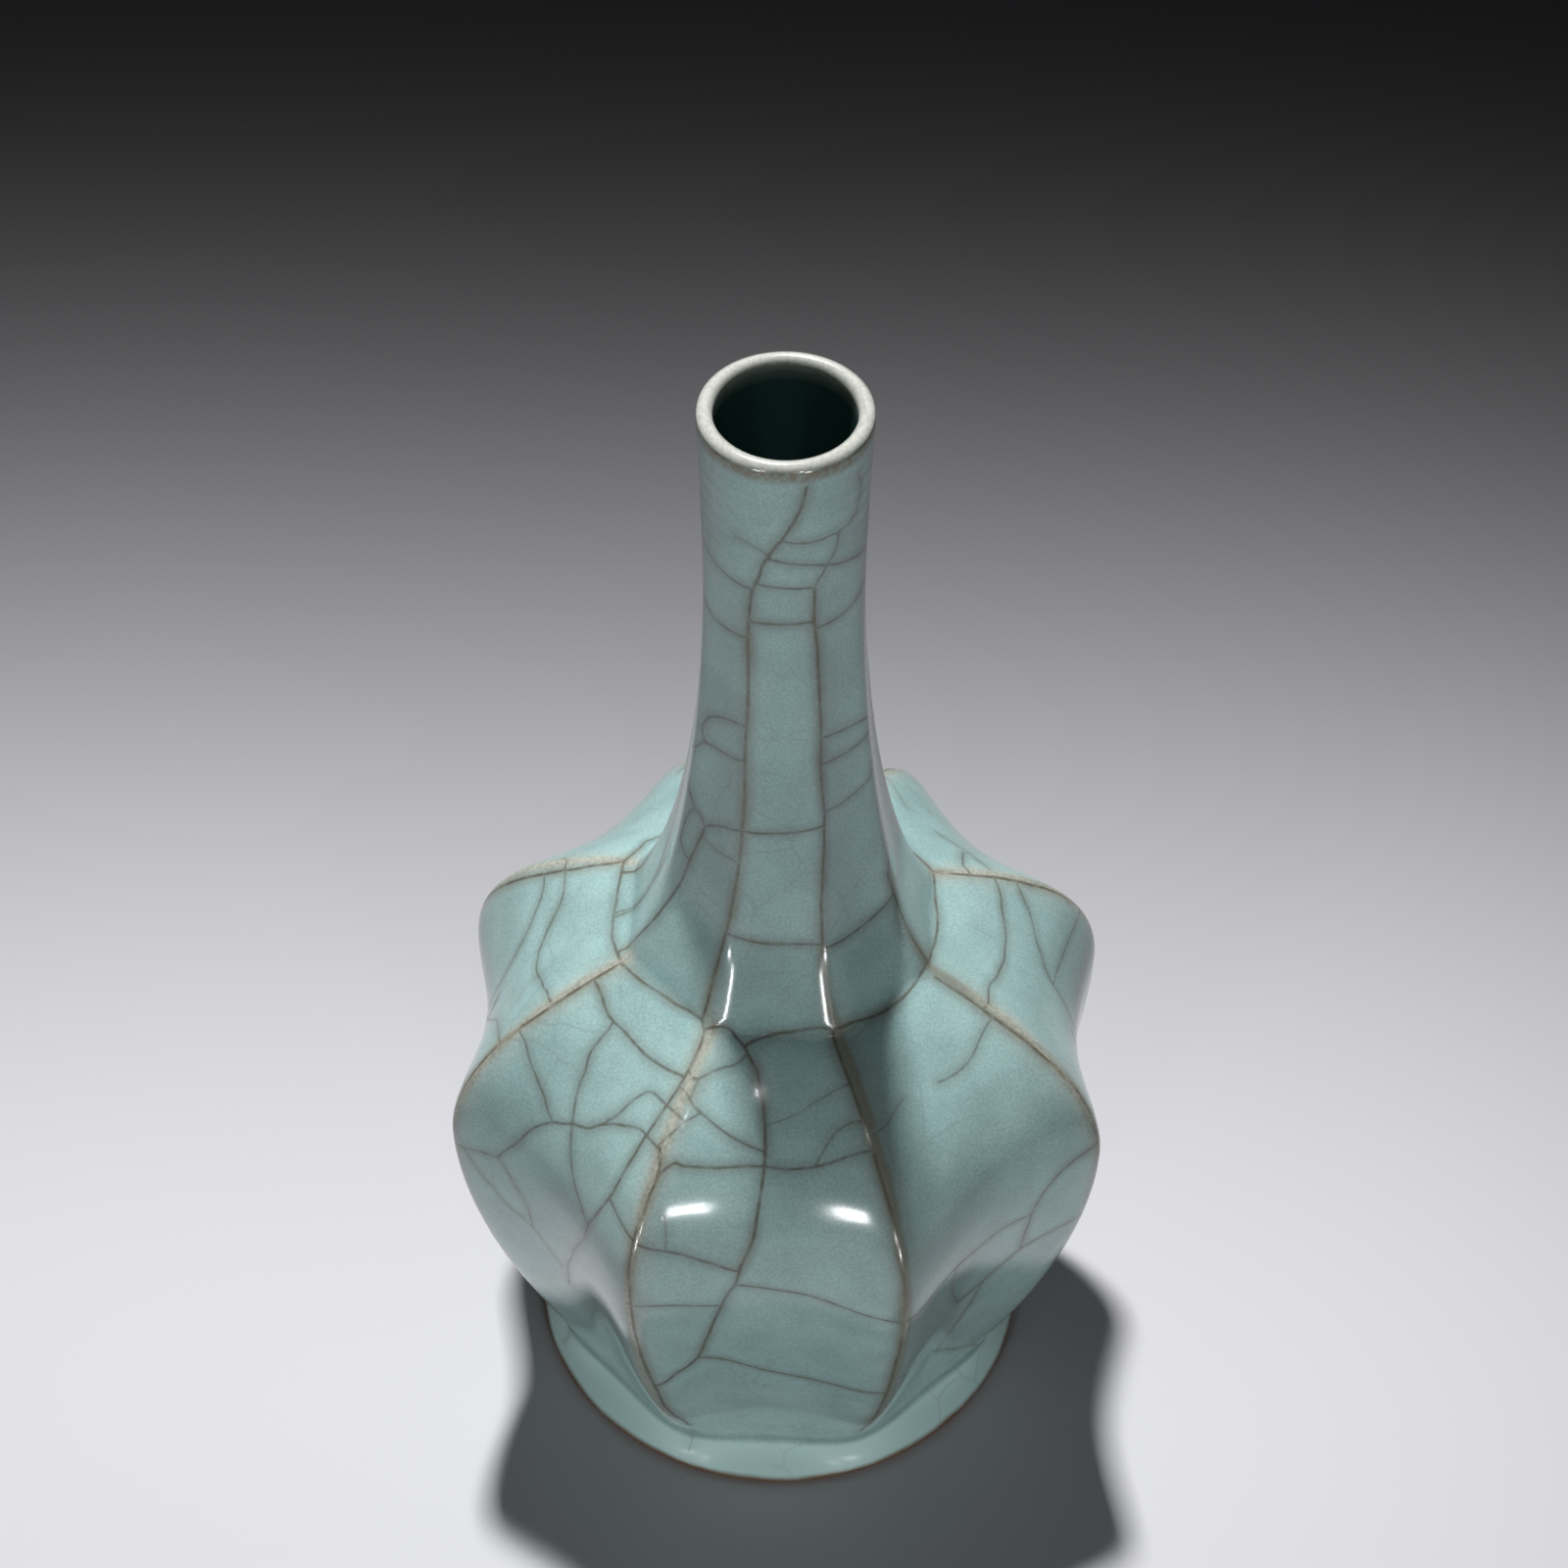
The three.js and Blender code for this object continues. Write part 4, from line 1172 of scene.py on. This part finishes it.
def glaze_material(look):
    """The celadon glaze of the outside: lip, walls and foot, down to its bare clay edge."""
    material, tree, shader, place = new_material("Celadon Glaze")
    height = parts_of(tree, place)["Z"]
    past_lip = attribute(tree, "past_lip")
    at_crease = fade(tree, away(tree, height, CREASE_HEIGHT + 0.5 * MM), 0.0, 4.5 * MM, 0.35)
    at_foot = fade(tree, away(tree, height, FOOT_HEIGHT - 0.3 * MM), 0.0, 1.8 * MM, 0.45)
    glaze = place_group(tree, "Glaze Depth", Place=place, Glaze=look.celadon, Thick=look.thick,
                        Pooled=plus(tree, at_crease, at_foot))
    crackle = place_group(tree, "Crackle", Place=place, Distance=attribute(tree, "crack_distance"),
                          Depth=attribute(tree, "crack_depth"))
    on_flare = times(tree, fade(tree, height, FOOT_HEIGHT - 0.8 * MM, FOOT_HEIGHT - 2.5 * MM, 0.0, 1.0),
                     fade(tree, height, 0.0, 1.5 * MM, 0.0, 1.0))
    crest, strength, thin = crest_band(tree, place, height, look)
    outside = fade(tree, past_lip, -3.0, -1.0, 0.0, 1.0)
    line = times(tree, times(tree, crackle["Line"], 0.86), outside)
    bare, clay = clay_edge(tree, place, height, look)
    colour = layered(tree, glaze["Colour"], [
        # The flare's lighter tint is thinner glaze together with painted light on the up-facing flare
        (times(tree, on_flare, 0.85), FLARE_THIN_AND_LIT_TINT),
        (times(tree, fade(tree, crest, 0.5, 4.4, 0.42), strength), thin),
        (times(tree, fade(tree, crest, 0.4, 1.5, 0.8), strength), thin),
        *lip_layers(tree, place, past_lip, look),
        (times(tree, crackle["Hairline"], 0.16), look.stain),
        (times(tree, times(tree, crackle["Stain"], 0.95), outside), look.stain),
        (line, look.crack),
        (times(tree, fade(tree, crest, 0.08, 0.34, 0.55), strength), thin),
        (bare, clay),
    ])
    rough = math_node(tree, "MULTIPLY_ADD", bare, 0.55, GLAZE_ROUGHNESS)
    rough = plus(tree, rough, times(tree, line, 0.25))
    relief = glaze_relief(tree, past_lip, glaze["Skin"], line)
    feed(tree, shader, {
        "Base Color": colour,
        "Roughness": plus(tree, rough, times(tree, on_flare, 0.3)),
        "Coat Weight": math_node(tree, "MULTIPLY_ADD", on_flare, -0.11, GLAZE_COAT),
        "Normal": bump(tree, relief, 0.5, 0.12 * MM),
        **GLAZE_FINISH,
    })
    return material


def hollow_material(look):
    """The very dark glaze colour inside the vase."""
    material, tree, shader, place = new_material("Inside Glaze")
    glaze = place_group(tree, "Glaze Depth", Place=place, Glaze=look.inside,
                        Thick=[value * 0.5 for value in look.inside], Pooled=0.0)
    feed(tree, shader, {
        "Base Color": glaze["Colour"],
        "Roughness": 0.22,
        "Normal": bump(tree, glaze["Skin"], 0.4, 0.2 * MM),
    })
    return material


def slab_material(look):
    """The underside of the base slab: thick glaze with a few hairlines."""
    material, tree, shader, place = new_material("Base Glaze")
    glaze = place_group(tree, "Glaze Depth", Place=place, Glaze=look.celadon, Thick=look.thick, Pooled=0.3)
    crackle = place_group(tree, "Crackle", Place=place, Distance=CRACK_REACH, Depth=0.0)
    feed(tree, shader, {
        "Base Color": layered(tree, glaze["Colour"], [
            (times(tree, crackle["Hairline"], 0.2), look.stain),
            (fade(tree, cell_edges(tree, place, 60.0), 0.006, 0.02, 0.85), look.crack),
        ]),
        "Roughness": 0.1,
        "Normal": bump(tree, glaze["Skin"], 0.5, 0.12 * MM),
    })
    return material


def by_ray(tree, lighting, seen):
    """One value for the light itself, and another for what a camera, a mirror or a glass sees."""
    ray = add_node(tree, "ShaderNodeLightPath", {}).outputs
    looking = math_node(tree, "MAXIMUM", ray["Is Camera Ray"], ray["Is Glossy Ray"])
    looking = math_node(tree, "MAXIMUM", looking, ray["Is Transmission Ray"])
    inputs = {"Value": looking, "To Min": lighting, "To Max": seen}
    return add_node(tree, "ShaderNodeMapRange", inputs).outputs["Result"]


def painted_light_falloff(tree, distance, length_of_fade, steepness):
    """How far the painted light on the floor has faded at a distance from where that starts."""
    return math_node(tree, "POWER", math_node(tree, "DIVIDE", distance, length_of_fade), steepness)


def floor_material(look):
    """A pale, matt floor whose painted falloff of light makes it darker behind the vase and far to its sides.
    """
    material, tree, shader, place = new_material("Pale Floor")
    parts = parts_of(tree, place)
    # Painted light: the floor is pale near the vase and fades to the far colour behind it and aside
    onward = math_node(tree, "MAXIMUM", plus(tree, parts["Y"], FLOOR_LIGHT_BEHIND[0]), 0.0)
    sideways = math_node(tree, "ABSOLUTE", plus(tree, parts["X"], FLOOR_LIGHT_ASIDE[0]))
    behind = painted_light_falloff(tree, onward, *FLOOR_LIGHT_BEHIND[1:])
    dark = plus(tree, behind, painted_light_falloff(tree, sideways, *FLOOR_LIGHT_ASIDE[1:]))
    near = math_node(tree, "POWER", math.exp(-1), dark)
    share = times(tree, near, by_ray(tree, FLOOR_BOUNCE, 1.0))
    feed(tree, shader, {
        "Base Color": mix_colour(tree, share, look.distance, look.floor),
        "Roughness": 0.9,
        "Specular IOR Level": 0.0,
    })
    return material


MADE = {}


def get_vase(scene):
    """The vase's surfaces and cracks, worked out once from the sizes in the panel."""
    if not MADE:
        MADE["vase"] = Vase(scene.vase_shape)
        MADE["crackle"] = Crackle(MADE["vase"])
    return MADE["vase"], MADE["crackle"]


def get_material(name, look):
    """A material by name, made when it is first asked for."""
    if "Crackle" not in bpy.data.node_groups:
        crackle_group()
        glaze_group()
    makers = {"Celadon Glaze": glaze_material, "Inside Glaze": hollow_material, "Base Glaze": slab_material}
    return bpy.data.materials.get(name) or makers[name](look)


def glaze_section(context, node):
    """Builds one luted section in place of its CAD node."""
    vase, crackle = get_vase(context.scene)
    piece = build_wall(vase, crackle, node)
    look = context.scene.vase_glaze
    piece.data.materials.append(get_material("Celadon Glaze", look))
    piece.data.materials.append(get_material("Inside Glaze", look))
    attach(piece, "root")
    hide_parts(node)


class VASE_OT_mouth_collar(bpy.types.Operator):
    """Build the round mouth collar with its rolled pale lip"""

    bl_idname = "vase.mouth_collar"
    bl_label = "Mouth Collar"

    def execute(self, context):
        glaze_section(context, "mouth_collar")
        return {"FINISHED"}


class VASE_OT_neck(bpy.types.Operator):
    """Build the neck, round at the waist and an octagonal skirt at the crease"""

    bl_idname = "vase.neck"
    bl_label = "Neck"

    def execute(self, context):
        glaze_section(context, "neck")
        return {"FINISHED"}


class VASE_OT_body(bpy.types.Operator):
    """Build the ridged shoulder and lower body, which meet at the belly"""

    bl_idname = "vase.body"
    bl_label = "Ridged Body"

    def execute(self, context):
        glaze_section(context, "shoulder")
        glaze_section(context, "lower_body")
        return {"FINISHED"}


class VASE_OT_foot_ring(bpy.types.Operator):
    """Build the flared round foot with its pad and recess"""

    bl_idname = "vase.foot_ring"
    bl_label = "Foot Ring"

    def execute(self, context):
        glaze_section(context, "foot_ring")
        return {"FINISHED"}


class VASE_OT_base_slab(bpy.types.Operator):
    """Build the slab that closes the bottom of the vase, with softened edges"""

    bl_idname = "vase.base_slab"
    bl_label = "Base Slab"

    def execute(self, context):
        lowest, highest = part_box("base_slab")
        middle = (lowest.z + highest.z) / 2
        bpy.ops.object.select_all(action="DESELECT")
        bpy.ops.mesh.primitive_cylinder_add(
            vertices=SLAB_SIDES, radius=highest.x, depth=highest.z - lowest.z,
            location=(0, 0, middle), end_fill_type="NGON")
        slab = context.object
        slab.name = "base_slab_glazed"
        bpy.ops.object.transform_apply(location=True, rotation=True, scale=True)
        bpy.ops.object.mode_set(mode="EDIT")
        bpy.ops.mesh.select_all(action="DESELECT")
        bpy.ops.object.mode_set(mode="OBJECT")
        for edge in slab.data.edges:
            start, end = (slab.data.vertices[vertex].co.z for vertex in edge.vertices)
            edge.select = abs(start - end) < SAME_PLACE and start > middle
        bpy.ops.object.mode_set(mode="EDIT")
        bpy.ops.mesh.select_mode(type="EDGE")
        bpy.ops.mesh.bevel(offset=SLAB_BEVEL, segments=SLAB_BEVEL_STEPS, affect="EDGES")
        bpy.ops.object.mode_set(mode="OBJECT")
        bpy.ops.object.shade_smooth_by_angle(angle=SLAB_SMOOTH_ANGLE)
        slab.data.materials.append(get_material("Base Glaze", context.scene.vase_glaze))
        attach(slab, "root")
        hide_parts("base_slab")
        return {"FINISHED"}


def add_floor(look):
    """Lays the pale floor that the vase stands on."""
    bpy.ops.object.select_all(action="DESELECT")
    bpy.ops.mesh.primitive_plane_add(size=FLOOR_SIZE, location=(0, 0, 0))
    floor = bpy.context.object
    floor.name = "studio_floor"
    floor.data.materials.append(floor_material(look))


def add_lamp(name, place, target_height, width, height, watts):
    """Hangs a soft lamp that looks at a point on the axis of the vase."""
    bpy.ops.object.light_add(type="AREA", location=place)
    lamp = bpy.context.object
    lamp.name = name
    lamp.data.shape = "RECTANGLE"
    lamp.data.size = width
    lamp.data.size_y = height
    lamp.data.energy = watts
    towards = Vector((0, 0, target_height)) - lamp.location
    lamp.rotation_euler = towards.to_track_quat("-Z", "Y").to_euler()


def add_room(look):
    """Fills the room with a little even light, which a camera or a mirror doesn't see."""
    world = bpy.data.worlds.new("Room")
    world.use_nodes = True
    background = world.node_tree.nodes["Background"]
    strength = by_ray(world.node_tree, look.room_light, 0.0)
    feed(world.node_tree, background, {"Color": (1, 1, 1), "Strength": strength})
    bpy.context.scene.world = world


def add_camera(look):
    """Puts up the camera."""
    bpy.ops.object.camera_add()
    camera = bpy.context.object
    camera.data.lens = look.focal_length
    camera.data.sensor_width = SENSOR_WIDTH
    turn = Matrix((CAMERA_RIGHT, CAMERA_UP, CAMERA_BACK)).transposed().to_4x4()
    camera.matrix_world = Matrix.Translation(CAMERA_PLACE) @ turn
    bpy.context.scene.camera = camera


class VASE_OT_studio(bpy.types.Operator):
    """Set up the pale floor, the soft lamps and the camera"""

    bl_idname = "vase.studio"
    bl_label = "Studio"

    def execute(self, context):
        look = context.scene.vase_studio
        add_floor(look)
        for *lamp, which, share in LAMPS:
            add_lamp(*lamp, share * getattr(look, which))
        add_room(look)
        add_camera(look)
        context.scene.view_settings.view_transform = "Standard"
        return {"FINISHED"}


class VASE_PT_panel(bpy.types.Panel):
    """Lists the pieces of the vase"""

    bl_idname = "VASE_PT_panel"
    bl_label = "Celadon Vase"
    bl_space_type = "VIEW_3D"
    bl_region_type = "UI"
    bl_category = "Vase"

    def draw(self, context):
        for operator in OPERATORS:
            self.layout.operator(operator.bl_idname)
        for group in (context.scene.vase_shape, context.scene.vase_glaze, context.scene.vase_studio):
            box = self.layout.box()
            for name in group.__annotations__:
                box.prop(group, name)


OPERATORS = (
    VASE_OT_mouth_collar,
    VASE_OT_neck,
    VASE_OT_body,
    VASE_OT_foot_ring,
    VASE_OT_base_slab,
    VASE_OT_studio,
)
CLASSES = (VaseShape, GlazeLook, StudioLook, *OPERATORS, VASE_PT_panel)


def register():
    """Makes the sizes, looks, operators and panel known to Blender."""
    for item in CLASSES:
        bpy.utils.register_class(item)
    bpy.types.Scene.vase_shape = bpy.props.PointerProperty(type=VaseShape)
    bpy.types.Scene.vase_glaze = bpy.props.PointerProperty(type=GlazeLook)
    bpy.types.Scene.vase_studio = bpy.props.PointerProperty(type=StudioLook)


def unregister():
    """Takes them away again."""
    del bpy.types.Scene.vase_studio
    del bpy.types.Scene.vase_glaze
    del bpy.types.Scene.vase_shape
    for item in reversed(CLASSES):
        bpy.utils.unregister_class(item)


def main():
    register()
    bpy.ops.vase.mouth_collar()
    bpy.ops.vase.neck()
    bpy.ops.vase.body()
    bpy.ops.vase.foot_ring()
    bpy.ops.vase.base_slab()
    bpy.ops.vase.studio()


if __name__ == "__main__":
    main()
